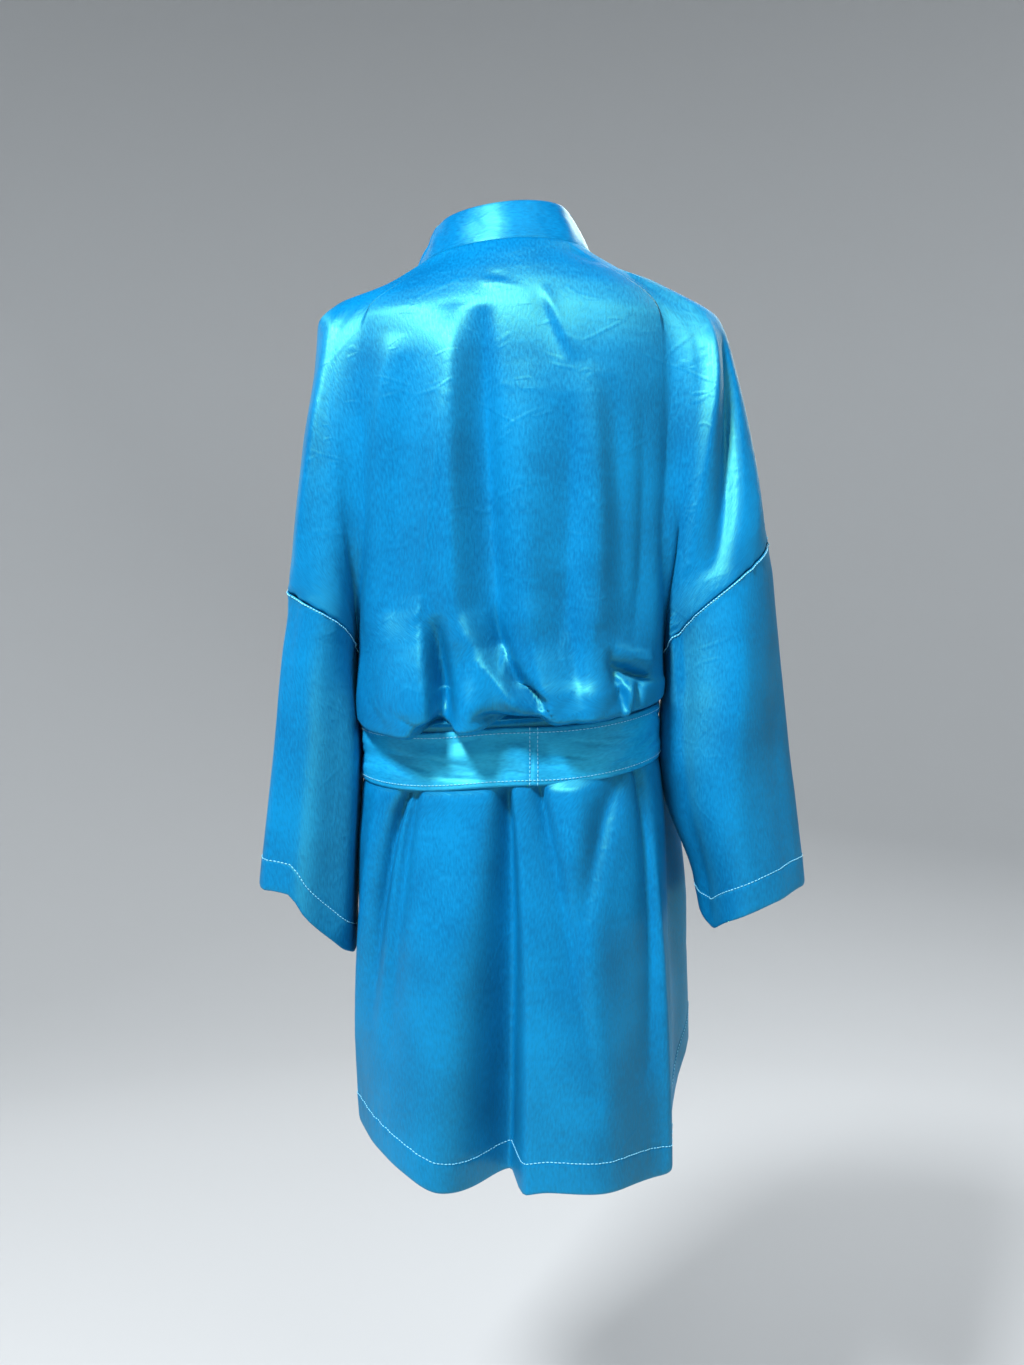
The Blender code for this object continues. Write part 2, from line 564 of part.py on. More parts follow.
def lower_body(angle, station, drop=0.0):
    """The body below the underarm. The angle is from the middle of the back, positive on the left."""
    reach = waist_reach(angle, station)
    x, y = reach * np.sin(angle), reach * np.cos(angle)
    z = read(LOWER_BODY, "z", station) + 0 * x
    loose = 1 - ease((station - 3.2) / 0.6) * ease((6.1 - station) / 0.6)
    folds = body_folds(x, y, z) * loose
    wrapped = np.degrees(np.angle(np.exp(1j * angle)))
    swing = np.maximum(folds, 0) * ease(-4 * np.cos(angle))
    lift = (read(HEM, "lift", wrapped) + swing) * ease((station - 6.5) / 6)
    sag = 0.5 * folds * ease(station - 1) * (station < 4)
    inset = 1 - ease((station - 2.7) / 0.5) * ease((4.1 - station) / 0.4)
    raised = 1.2 * ease((station - 2.2) / 0.6) * ease((4.7 - station) / 0.6)
    height = z + read(LOWER_BODY, "sash", station) * sash_tilt(x, y) + lift - sag + drop * raised
    return push_out(np.stack([x, y, height], axis=-1), folds - drop * inset)


def lower_front(side, across, p, station, drop=0.0):
    """A front below the underarm: p runs from a place counted out from the middle to the side seam."""
    z = read(LOWER_BODY, "z", station)
    half = np.where(across >= 0, read(LOWER_BODY, side, station), read(LOWER_BODY, OTHER[side], station))
    start = edge_angle(across, half, read(LOWER_BODY, "front", station))
    end = QUARTER + SEAM_GAP / 2 / read(LOWER_BODY, side, station)
    angle = (start + (end - start) * p) * SIDES[side]
    return lower_body(angle, station, drop + underlap(side, np.sin(angle) * 0.12, z + 0 * angle))


def satin(name):
    material = bpy.data.materials.new("satin_" + name)
    material.use_nodes = True
    shader = material.node_tree.nodes["Principled BSDF"]
    shader.inputs["Base Color"].default_value = (*SATIN_COLOUR, 1.0)
    shader.inputs["Roughness"].default_value = SATIN_ROUGHNESS
    shader.inputs["Metallic"].default_value = 0.0
    return material


def grid_faces(rows, columns, base=0, closed=False):
    """Faces of a grid with rows downwards and columns towards the left, seen from outside."""
    faces = []
    for r in range(rows - 1):
        for c in range(columns if closed else columns - 1):
            following = (c + 1) % columns
            here, under = base + r * columns, base + (r + 1) * columns
            faces.append((here + c, here + following, under + following, under + c))
    return faces


def open_side_seams(mesh, thickness):
    """Keeps the inner edge of a wall on its own side of the side line, where back and front meet."""
    mesh.normal_update()
    for vert in mesh.verts:
        if vert.is_boundary and 0 < abs(vert.co.y) < 2 * SEAM_GAP:
            facing = math.copysign(1, vert.co.y)
            vert.co.y = facing * (SEAM_GAP / 2 + max(0, thickness * vert.normal.y * facing))


def wall(name, points, faces, thickness):
    """A piece of cloth: the outer surface, with its thickness laid inwards."""
    mesh = bmesh.new()
    corners = [mesh.verts.new(tuple(map(float, point))) for point in points.reshape(-1, 3)]
    for face in faces:
        mesh.faces.new([corners[i] for i in face])
    bmesh.ops.remove_doubles(mesh, verts=mesh.verts, dist=1e-6)
    open_side_seams(mesh, thickness)
    sheet = bpy.data.meshes.new(name)
    mesh.to_mesh(sheet)
    mesh.free()
    sheet.shade_smooth()
    sheet.materials.append(satin(name))
    piece = bpy.data.objects.new(name, sheet)
    robe.objects.link(piece)
    thicken = piece.modifiers.new("wall", "SOLIDIFY")
    thicken.thickness = thickness
    thicken.offset = -1
    return piece


def panel(name, upper, lower, skipped):
    """A wall whose upper grid carries a narrower lower one under all but its first and last columns."""
    rows, columns = upper.shape[:2]
    low_rows, low_columns = lower.shape[:2]
    base = rows * columns
    joint = (rows - 1) * columns + skipped
    faces = grid_faces(rows, columns) + grid_faces(low_rows, low_columns, base)
    faces += [(joint + c, joint + c + 1, base + c + 1, base + c) for c in range(low_columns - 1)]
    points = np.concatenate([upper.reshape(-1, 3), lower.reshape(-1, 3)])
    return wall(name, points, faces, CLOTH_WALL)


def column(values):
    return np.array(values, float)[:, None]


def back_neckline():
    """The top edge of the back, from the right side neck point to the left one."""
    return upper_back_grid(column((0,)))[0]


def upper_back_grid(f):
    p = np.linspace(0, 1, BACK_COLUMNS + 1)[None, :]
    q = np.linspace(0, 1, ARM_COLUMNS + 1)[None, :]
    halves = {}
    for side in SIDES:
        arm = upper_arm(side, 1.0, q, f)[:, 1:]
        halves[side] = np.concatenate([upper_back(side, p, f), arm], axis=1)
    return np.concatenate([halves["right"][:, ::-1], halves["left"][:, 1:]], axis=1)


def back_panel():
    """The back, one piece from the neck to the hem and out to both sleeve seams."""
    upper = upper_back_grid(column(UPPER_ROWS))
    angle = np.linspace(-1, 1, 2 * BACK_COLUMNS + 1)[None, :] * (QUARTER - SEAM_GAP / 2 / 0.15)
    panel("back", upper, lower_body(angle, column(LOWER_ROWS)), ARM_COLUMNS)


def front_panel(side):
    """A front, from its neckband to the sleeve seam and the side seam."""
    p = np.linspace(0, 1, FRONT_COLUMNS + 1)[None, :]
    q = np.linspace(0, 1, ARM_COLUMNS + 1)[None, :]
    f = column(UPPER_ROWS[1:])
    seam = read(FRONT_SEAMS, side, upper_height(f)) + BAND_GAP / 2
    upper = np.concatenate([upper_front(side, seam, p, f), upper_arm(side, -1.0, q, f)[:, 1:]], axis=1)
    neck = neck_point(side) * np.array((1, -1, 1))
    upper = np.concatenate([np.broadcast_to(neck, upper[:1].shape), upper])
    station = column(LOWER_ROWS)
    seam = read(FRONT_SEAMS, side, read(LOWER_BODY, "z", station)) + BAND_GAP / 2
    lower = lower_front(side, seam, p, station)
    if side == "left":
        panel("front_left", upper[:, ::-1], lower[:, ::-1], ARM_COLUMNS)
    else:
        panel("front_right", upper, lower, 0)


def neck_point(side):
    """Where the shoulder ridge meets the neckband."""
    return back_neckline()[-1 if side == "left" else 0]


def seam_loop(side):
    """The lower edge of back and front round one arm, from the ridge over the back, in half steps."""
    q = np.linspace(1, 0, ARM_COLUMNS + 1)[None, :]
    back = upper_arm(side, 1.0, q, column((1,)))[0]
    front = upper_arm(side, -1.0, q, column((1,)))[0]
    loop = np.concatenate([back[:-1], front[:0:-1]])
    halfway = (loop + np.roll(loop, -1, axis=0)) / 2
    return np.stack([loop, halfway], axis=1).reshape(-1, 3)


def sleeve(side):
    """A sleeve, from its seam to the cuff."""
    top_row = seam_loop(side) - np.array((0, 0, SLEEVE_GAP))
    columns = len(top_row)
    top_row[columns // 2, 0] += SIDES[side] * BAND_GAP
    turn = (np.arange(columns) * 2 * math.pi / columns)[None, :]
    v = np.linspace(0, 1, SLEEVE_ROWS + 1)[1:, None]
    z = top_row[:, 2] + (read(CUFFS, side, np.degrees(turn)) - top_row[:, 2]) * v
    centre = arm_centre(side, z)
    joined = arm_reach(side, turn + 0 * z, z, read(ARMS, "in_" + side, z) + 0.0006, 0.0)
    plain = oval_reach(np.cos(turn), np.sin(turn), arm_half(side, z), read(ARMS, "depth", z))
    reach = plain + (joined - plain) * (1 - ease(v * 3))
    x, y = (centre + reach * np.cos(turn)) * SIDES[side], reach * np.sin(turn)
    around = np.angle(np.exp(1j * turn)) + 0 * z
    folds = fold_heights(ARM_FOLDS[side], around * ARM_CHART_RADIUS, z, arm_place)
    calm = ease((math.pi - np.abs(around)) * 1.5)
    points = push_out(np.stack([x, y, z], axis=-1), folds * calm, centre * SIDES[side])
    points = np.concatenate([top_row[None], points])
    if side == "left":
        points = points[:, ::-1]
    wall("sleeve_" + side, points, grid_faces(*points.shape[:2], closed=True), CLOTH_WALL)


def neckband():
    """One band: up the left front, round the back of the neck where it stands, down the right front."""
    seam_row = back_neckline() + np.array((0, 0, STAND_GAP))
    t = np.linspace(0, 1, BAND_COLUMNS + 1)[:, None]
    unit_x = (seam_row[:, 0] - STAND["seam_middle"]) / STAND["seam_half"]
    unit_y = seam_row[:, 1] / STAND["seam_depth"]
    top_row = np.stack(
        [
            STAND["top_middle"] + STAND["top_half"] * unit_x,
            STAND["top_depth"] * unit_y,
            seam_row[:, 2] + STAND["height"] - STAND["rise_to_right"] * unit_x,
        ],
        axis=-1,
    )
    stand = seam_row[None] + (top_row - seam_row)[None] * t[:, None]
    pieces = {}
    for side in SIDES:
        end = -1 if side == "left" else 0
        rise = top_row[end] - seam_row[end]
        f = np.array(UPPER_ROWS[1:], float)[None, :]
        z = upper_height(f)
        across = read(FRONT_SEAMS, side, z) - BAND_GAP / 2 - BAND_WIDTH * t
        flat = upper_front(side, across, 0.0, f + 0 * t)
        length = np.linalg.norm(flat[0] - seam_row[end], axis=-1)
        laid = ease(length / 0.105)[None, :, None]
        seam = flat[:1] + np.array((0, 0, STAND_GAP))
        upper = (seam + rise * t[..., None]) * (1 - laid) + flat * laid
        station = np.array(LOWER_ROWS, float)[None, :]
        across = read(FRONT_SEAMS, side, read(LOWER_BODY, "z", station)) - BAND_GAP / 2 - BAND_WIDTH * t
        lower = lower_front(side, across, 0.0, station + 0 * t)
        pieces[side] = np.concatenate([upper, lower], axis=1)
    points = np.concatenate([pieces["right"][:, ::-1], stand, pieces["left"]], axis=1)[::-1]
    wall("neckband", points, grid_faces(*points.shape[:2]), BAND_WALL)


def sash():
    """A band round the waist, tied in front."""
    angle = np.linspace(-math.pi, math.pi, SASH_COLUMNS, endpoint=False)[None, :]
    reach = waist_reach(angle, SASH_STATION) + SASH_CLEARANCE + SASH_WALL
    across = np.linspace(0.5, -0.5, 5)[:, None]
    x, y = reach * np.sin(angle) + 0 * across, reach * np.cos(angle) + 0 * across
    points = np.stack([x, y, SASH_Z + sash_tilt(x, y) + across * SASH_WIDTH], axis=-1)
    wall("sash", points, grid_faces(*points.shape[:2], closed=True), SASH_WALL)


def front_depth():
    """How far forward the front of the sash lies."""
    return float(read(LOWER_BODY, "front", SASH_STATION)) + SASH_CLEARANCE + SASH_WALL


def sash_knot():
    """The tied knot: a flattened round with a furrow where the ends cross."""
    bpy.ops.mesh.primitive_uv_sphere_add(segments=20, ring_count=12, radius=1.0)
    knot = bpy.context.object
    knot.name = "sash_knot"
    knot.data.name = "sash_knot"
    for other in list(knot.users_collection):
        other.objects.unlink(knot)
    robe.objects.link(knot)
    for vert in knot.data.vertices:
        x, y, z = vert.co
        cross = math.exp(-(((z - 0.9 * x + 0.25) / 0.16) ** 2)) * max(0.0, -y)
        fullness = 1 - 0.22 * cross
        vert.co.x = KNOT_HALF[0] * math.copysign(abs(x) ** 0.6, x) * (1 - 0.18 * z)
        vert.co.y = KNOT_HALF[1] * math.copysign(abs(y) ** 0.6, y) * fullness
        vert.co.z = KNOT_HALF[2] * math.copysign(abs(z) ** 0.6, z)
        vert.co.y -= front_depth() + KNOT_HALF[1] + 2 * SEAM_GAP
        vert.co.z += KNOT_Z
    knot.data.shade_smooth()
    knot.data.materials.append(satin("sash_knot"))


def sash_tail(side):
    """One hanging end, its points those of the fronts moved out."""
    table = TAILS[side]
    stations = [row[0] for row in table[1]]
    station = np.linspace(stations[0], stations[-1], TAIL_ROWS + 1)[:, None]
    across = np.linspace(0.5, -0.5, 5)[None, :]
    place = read(table, "middle", station) + across * read(table, "width", station)
    half = np.where(place > 0, read(LOWER_BODY, "left", station), read(LOWER_BODY, "right", station))
    angle = edge_angle(place, half, read(LOWER_BODY, "front", station))
    curl = 0.0012 * np.cos(across * 9 + station)
    points = lower_body(angle, station, -(read(table, "off", station) + curl))
    wall("sash_tail_" + side, points, grid_faces(*points.shape[:2]), SASH_WALL)


def clear_scene():
    for item in list(bpy.data.objects):
        bpy.data.objects.remove(item, do_unlink=True)


clear_scene()
robe = bpy.data.collections.new("kimono_robe")
bpy.context.scene.collection.children.link(robe)
back_panel()
front_panel("left")
front_panel("right")
sleeve("left")
sleeve("right")
neckband()
sash()
sash_knot()
sash_tail("left")
sash_tail("right")
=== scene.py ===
"""The looks of a short satin kimono robe, filled out as if worn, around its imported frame.

Metres. +Z is up, +Y is the back of the robe and +X is the wearer's left, with z = 0 at
the side neck points. Each piece of cloth is a fine sheet over its node's own form: the
same tables give its shape, and more folds, hems, puckers and stitches lie on top.
"""

import math

import bmesh
import bpy
import numpy as np
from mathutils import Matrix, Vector


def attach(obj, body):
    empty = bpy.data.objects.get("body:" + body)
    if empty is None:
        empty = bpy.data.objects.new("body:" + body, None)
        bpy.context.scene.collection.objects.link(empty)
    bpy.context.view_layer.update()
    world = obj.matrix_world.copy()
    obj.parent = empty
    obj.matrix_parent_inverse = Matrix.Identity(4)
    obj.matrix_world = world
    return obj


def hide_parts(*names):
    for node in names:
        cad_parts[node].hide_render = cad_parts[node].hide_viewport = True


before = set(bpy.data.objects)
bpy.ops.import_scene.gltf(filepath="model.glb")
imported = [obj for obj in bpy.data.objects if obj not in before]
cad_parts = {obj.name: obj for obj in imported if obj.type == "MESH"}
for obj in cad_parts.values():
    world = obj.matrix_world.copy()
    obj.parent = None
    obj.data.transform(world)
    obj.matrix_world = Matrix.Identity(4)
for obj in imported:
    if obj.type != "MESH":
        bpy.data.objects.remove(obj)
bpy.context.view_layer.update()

# Driving sizes, in metres.
BAND_WALL = 0.0022
SEAM_GAP = 0.0003
UNDERARM_Z = -0.380
BAND_WIDTH = 0.050
SASH_WIDTH = 0.053
SASH_Z = -0.4785
SASH_CLEARANCE = 0.0018
SASH_WALL = 0.0020
UNDERLAP_DROP = 0.0042
UNDERLAP_SLACK = 0.0028
KNOT_HALF = (0.026, 0.013, 0.0225)
KNOT_Z = -0.4750
FURROW_OPENING = 0.06
CHART_RADIUS = 0.130
ARM_CHART_RADIUS = 0.058
SQUARENESS = 2.2

# The body of the robe from the neck to the underarm: half widths to each side, and
# how deep it is behind and in front of the side line.
UPPER_BODY = (
    ("z", "left", "right", "back", "front", "square"),
    (
        (0.006, 0.087, 0.076, 0.066, 0.010, 2.0),
        (-0.004, 0.097, 0.085, 0.073, 0.020, 1.9),
        (-0.012, 0.115, 0.098, 0.078, 0.032, 1.8),
        (-0.020, 0.137, 0.116, 0.082, 0.043, 1.8),
        (-0.030, 0.157, 0.141, 0.087, 0.055, 1.8),
        (-0.045, 0.167, 0.160, 0.093, 0.070, 1.9),
        (-0.070, 0.168, 0.168, 0.100, 0.086, 2.1),
        (-0.110, 0.167, 0.169, 0.106, 0.101, 2.2),
        (-0.180, 0.162, 0.166, 0.111, 0.116, 2.2),
        (-0.250, 0.157, 0.159, 0.114, 0.123, 2.2),
        (-0.310, 0.152, 0.152, 0.117, 0.121, 2.2),
        (-0.380, 0.149, 0.147, 0.120, 0.117, 2.2),
    ),
)
# The same below the underarm, a row for each station: the body blouses over the sash,
# is drawn in under it and falls free to the hem. Sash says how far a row follows the
# sash's tilt.
LOWER_BODY = (
    ("station", "z", "left", "right", "back", "front", "sash"),
    (
        (0.0, -0.3800, 0.1490, 0.1470, 0.1200, 0.1170, 0.0),
        (1.0, -0.4080, 0.1510, 0.1475, 0.1245, 0.1210, 0.3),
        (2.0, -0.4275, 0.1520, 0.1490, 0.1290, 0.1240, 0.8),
        (2.8, -0.4445, 0.1510, 0.1480, 0.1275, 0.1210, 1.0),
        (3.3, -0.4480, 0.1490, 0.1455, 0.1190, 0.1140, 1.0),
        (3.7, -0.4440, 0.1455, 0.1437, 0.1050, 0.1060, 1.0),
        (4.1, -0.4485, 0.1433, 0.1413, 0.0978, 0.0998, 1.0),
        (4.5, -0.4590, 0.1425, 0.1405, 0.0970, 0.0990, 1.0),
        (5.2, -0.4970, 0.1425, 0.1405, 0.0970, 0.0990, 1.0),
        (5.7, -0.5120, 0.1455, 0.1437, 0.1008, 0.1028, 1.0),
        (6.4, -0.5280, 0.1465, 0.1460, 0.1025, 0.1050, 0.9),
        (7.4, -0.5700, 0.1495, 0.1495, 0.1100, 0.1120, 0.6),
        (9.0, -0.6600, 0.1490, 0.1520, 0.1240, 0.1230, 0.2),
        (11.0, -0.7700, 0.1480, 0.1560, 0.1270, 0.1270, 0.0),
        (12.7, -0.8660, 0.1440, 0.1550, 0.1270, 0.1290, 0.0),
    ),
)
SASH_STATION = 4.9

# The arms and sleeves: how far out and in they reach on each side, how deep they are,
# and where the furrow between arm and body lies.
ARMS = (
    ("z", "out_left", "in_left", "out_right", "in_right", "depth",
     "furrow_left", "furrow_right", "blend"),
    (
        (0.006, 0.080, 0.050, 0.068, 0.040, 0.010, 0.060, 0.050, 0.008),
        (-0.012, 0.119, 0.080, 0.096, 0.070, 0.017, 0.078, 0.070, 0.012),
        (-0.030, 0.173, 0.118, 0.143, 0.105, 0.027, 0.118, 0.108, 0.016),
        (-0.060, 0.189, 0.128, 0.203, 0.132, 0.042, 0.152, 0.155, 0.017),
        (-0.095, 0.191, 0.126, 0.215, 0.130, 0.056, 0.162, 0.166, 0.013),
        (-0.180, 0.204, 0.128, 0.232, 0.132, 0.067, 0.160, 0.163, 0.008),
        (-0.280, 0.213, 0.138, 0.251, 0.139, 0.072, 0.154, 0.155, 0.005),
        (-0.340, 0.215, 0.145, 0.256, 0.144, 0.074, 0.150, 0.149, 0.003),
        (-0.380, 0.220, 0.150, 0.260, 0.148, 0.075, 0.1495, 0.1475, 0.001),
        (-0.410, 0.223, 0.1510, 0.263, 0.1482, 0.076, 0.1495, 0.1475, 0.001),
        (-0.440, 0.226, 0.1490, 0.266, 0.1452, 0.077, 0.1495, 0.1475, 0.001),
        (-0.480, 0.231, 0.1462, 0.270, 0.1442, 0.078, 0.1495, 0.1475, 0.001),
        (-0.520, 0.236, 0.1474, 0.275, 0.1500, 0.079, 0.1495, 0.1475, 0.001),
        (-0.600, 0.245, 0.1510, 0.283, 0.179, 0.082, 0.1495, 0.1475, 0.001),
        (-0.680, 0.251, 0.1540, 0.288, 0.193, 0.084, 0.1495, 0.1475, 0.001),
    ),
)
# The sleeve seam's height at the outer and the inner side of each arm.
SLEEVE_SEAMS = {"left": (-0.306, UNDERARM_Z), "right": (-0.267, UNDERARM_Z)}
# The cuff's height round the arm: 0 degrees is its outer side, 90 its back, 180 its
# inner side and 270 its front.
CUFFS = (
    ("turn", "left", "right"),
    (
        (0, -0.599, -0.602),
        (50, -0.598, -0.603),
        (84, -0.604, -0.612),
        (98, -0.628, -0.619),
        (115, -0.647, -0.630),
        (140, -0.665, -0.643),
        (180, -0.673, -0.638),
        (225, -0.654, -0.628),
        (270, -0.622, -0.614),
        (315, -0.601, -0.603),
        (360, -0.599, -0.602),
    ),
)
# How much higher the hem is than its lowest line, by the angle from the middle of the
# back, positive on the left. The fronts hang shorter than the back.
HEM = (
    ("angle", "lift"),
    (
        (-180, 0.022),
        (-125, 0.036),
        (-104, 0.042),
        (-90, 0.004),
        (-70, 0.000),
        (-45, 0.006),
        (-15, 0.009),
        (0, 0.004),
        (15, 0.000),
        (28, 0.003),
        (45, 0.018),
        (60, 0.028),
        (90, 0.038),
        (112, 0.026),
        (180, 0.022),
    ),
)

# How far out on its own side the neckband's seam runs down each front; below zero it
# has crossed the middle.
FRONT_SEAMS = (
    ("z", "left", "right"),
    (
        (0.006, 0.092, 0.079),
        (-0.060, 0.081, 0.070),
        (-0.150, 0.063, 0.055),
        (-0.220, 0.048, 0.042),
        (-0.300, 0.030, 0.026),
        (-0.450, -0.005, -0.005),
        (-0.520, -0.012, -0.012),
        (-0.866, -0.034, -0.034),
    ),
)
# The standing part of the neckband: from one side neck point round the back to the
# other, how high its top edge is and how far it leans in.
STAND = {"seam_middle": 0.005, "seam_half": 0.088, "seam_depth": 0.067,
         "top_middle": 0.0078, "top_half": 0.0645, "top_depth": 0.039,
         "height": 0.0470, "rise_to_right": 0.0010}

# Where a fold starts, passes and ends, how wide it is, how far it stands out there, or
# sinks in if below zero, how much wider it is on its left, and how soft its crest is.
FOLD_COLUMNS = (
    "at_top", "z_top", "at_mid", "z_mid", "at_low", "z_low",
    "width_top", "width_low", "depth_top", "depth_mid", "depth_low", "lean", "soft",
)
# Folds of the back, placed by x. First the long folds that fall from the shoulders.
BACK_FOLDS = (
    (0.052, -0.066, 0.056, -0.205, 0.049, -0.372, 0.019, 0.021, 0.000, 0.015, 0.009, 0.25, 1.8),
    (0.060, -0.140, 0.070, -0.240, 0.083, -0.350, 0.006, 0.007, 0.000, 0.003, 0.004, 0.50, 1.3),
    (0.026, -0.070, 0.023, -0.205, 0.012, -0.372, 0.014, 0.018, 0.000, -0.019, -0.015, 0.25, 1.8),
    (-0.012, -0.120, -0.012, -0.240, -0.016, -0.350, 0.018, 0.018, 0.000, 0.004, 0.005, 0.00, 1.8),
    (-0.050, -0.150, -0.052, -0.260, -0.046, -0.360, 0.014, 0.017, 0.000, -0.008, -0.004, 0.30, 1.6),
    (-0.070, -0.120, -0.078, -0.240, -0.076, -0.350, 0.014, 0.018, 0.000, 0.006, 0.004, 0.30, 1.7),
    (-0.088, -0.130, -0.098, -0.240, -0.104, -0.350, 0.012, 0.016, 0.000, -0.006, -0.004, 0.00, 1.7),
    (-0.119, -0.140, -0.121, -0.270, -0.112, -0.370, 0.010, 0.014, 0.000, -0.006, -0.002, -0.30, 1.5),
    (-0.138, -0.160, -0.139, -0.270, -0.132, -0.380, 0.009, 0.012, 0.000, 0.004, 0.002, 0.00, 1.7),
    (0.112, -0.090, 0.127, -0.200, 0.137, -0.350, 0.010, 0.014, 0.000, 0.009, 0.003, -0.20, 1.4),
    (0.099, -0.110, 0.104, -0.240, 0.108, -0.350, 0.014, 0.016, 0.000, -0.007, -0.003, 0.00, 1.6),
    (-0.028, -0.050, -0.042, -0.084, -0.058, -0.120, 0.006, 0.008, 0.000, 0.0028, 0.000, -0.20, 1.2),
    (-0.020, -0.052, -0.033, -0.086, -0.047, -0.122, 0.007, 0.009, 0.000, -0.0022, 0.000, 0.20, 1.5),
    (0.032, -0.041, 0.012, -0.048, -0.012, -0.053, 0.004, 0.004, 0.000, 0.0014, 0.000, 0.00, 1.2),
    (0.026, -0.036, 0.014, -0.039, 0.002, -0.041, 0.003, 0.003, 0.000, -0.0010, 0.000, 0.00, 1.3),
    (0.106, -0.345, 0.106, -0.408, 0.102, -0.456, 0.024, 0.028, 0.000, 0.012, 0.006, 0.00, 2.2),
    (0.082, -0.330, 0.0785, -0.398, 0.070, -0.450, 0.013, 0.015, 0.000, 0.012, 0.008, 0.72, 2.0),
    (0.069, -0.350, 0.064, -0.402, 0.062, -0.450, 0.007, 0.009, -0.001, -0.027, -0.026, -0.10, 2.6),
    (0.040, -0.345, 0.036, -0.406, 0.044, -0.452, 0.012, 0.015, 0.000, 0.010, 0.011, -0.20, 2.6),
    (0.044, -0.350, 0.014, -0.408, -0.020, -0.434, 0.009, 0.006, 0.001, 0.012, 0.009, 0.30, 1.6),
    (0.016, -0.345, -0.001, -0.398, -0.024, -0.430, 0.007, 0.007, -0.002, -0.020, -0.022, 0.30, 1.9),
    (0.028, -0.438, 0.004, -0.448, -0.020, -0.452, 0.006, 0.007, -0.006, -0.020, -0.020, 0.00, 1.8),
    (-0.010, -0.335, -0.024, -0.402, -0.036, -0.450, 0.013, 0.016, 0.000, 0.006, 0.008, -0.50, 1.9),
    (-0.050, -0.310, -0.054, -0.380, -0.060, -0.440, 0.012, 0.012, 0.000, -0.006, -0.003, 0.40, 1.6),
    (-0.074, -0.325, -0.076, -0.395, -0.076, -0.456, 0.016, 0.018, 0.000, 0.006, 0.007, 0.00, 2.0),
    (-0.092, -0.380, -0.108, -0.386, -0.126, -0.392, 0.007, 0.007, 0.001, 0.007, 0.006, 0.00, 1.6),
    (-0.090, -0.396, -0.108, -0.404, -0.126, -0.410, 0.005, 0.005, -0.004, -0.014, -0.008, 0.00, 1.6),
    (-0.088, -0.385, -0.093, -0.410, -0.101, -0.442, 0.004, 0.005, -0.002, -0.011, -0.009, 0.00, 1.5),
    (-0.104, -0.412, -0.107, -0.426, -0.104, -0.446, 0.005, 0.006, 0.001, 0.009, 0.006, 0.00, 1.5),
    (-0.114, -0.410, -0.116, -0.424, -0.112, -0.444, 0.004, 0.005, 0.000, -0.009, -0.006, 0.00, 1.5),
    (0.087, -0.501, 0.114, -0.565, 0.130, -0.740, 0.0035, 0.013, -0.008, -0.020, -0.003, 0.00, 1.6),
    (0.0865, -0.503, 0.1065, -0.570, 0.1235, -0.760, 0.0035, 0.009, 0.003, 0.007, 0.001, 0.00, 1.6),
    (0.084, -0.501, 0.0985, -0.575, 0.113, -0.780, 0.0040, 0.014, -0.008, -0.013, -0.001, 0.20, 1.6),
    (0.126, -0.520, 0.140, -0.660, 0.146, -0.860, 0.008, 0.014, 0.002, 0.006, 0.004, 0.00, 1.6),
    (0.048, -0.580, 0.058, -0.700, 0.070, -0.900, 0.034, 0.060, 0.000, 0.006, 0.012, 0.00, 2.0),
    (0.004, -0.496, -0.002, -0.640, 0.003, -0.900, 0.007, 0.027, -0.016, -0.042, -0.072, 0.72, 2.0),
    (-0.024, -0.498, -0.041, -0.585, -0.074, -0.780, 0.005, 0.018, -0.010, -0.014, -0.003, 0.50, 1.4),
    (-0.056, -0.500, -0.062, -0.600, -0.080, -0.900, 0.018, 0.040, 0.005, 0.014, 0.016, 0.10, 1.9),
    (-0.104, -0.497, -0.074, -0.575, -0.048, -0.690, 0.009, 0.016, -0.004, -0.009, 0.000, 0.20, 1.7),
    (-0.112, -0.497, -0.128, -0.575, -0.126, -0.760, 0.0045, 0.014, -0.010, -0.014, -0.004, 0.20, 1.4),
    (-0.114, -0.498, -0.133, -0.600, -0.141, -0.860, 0.005, 0.012, 0.002, 0.008, 0.010, 0.00, 1.3),
)
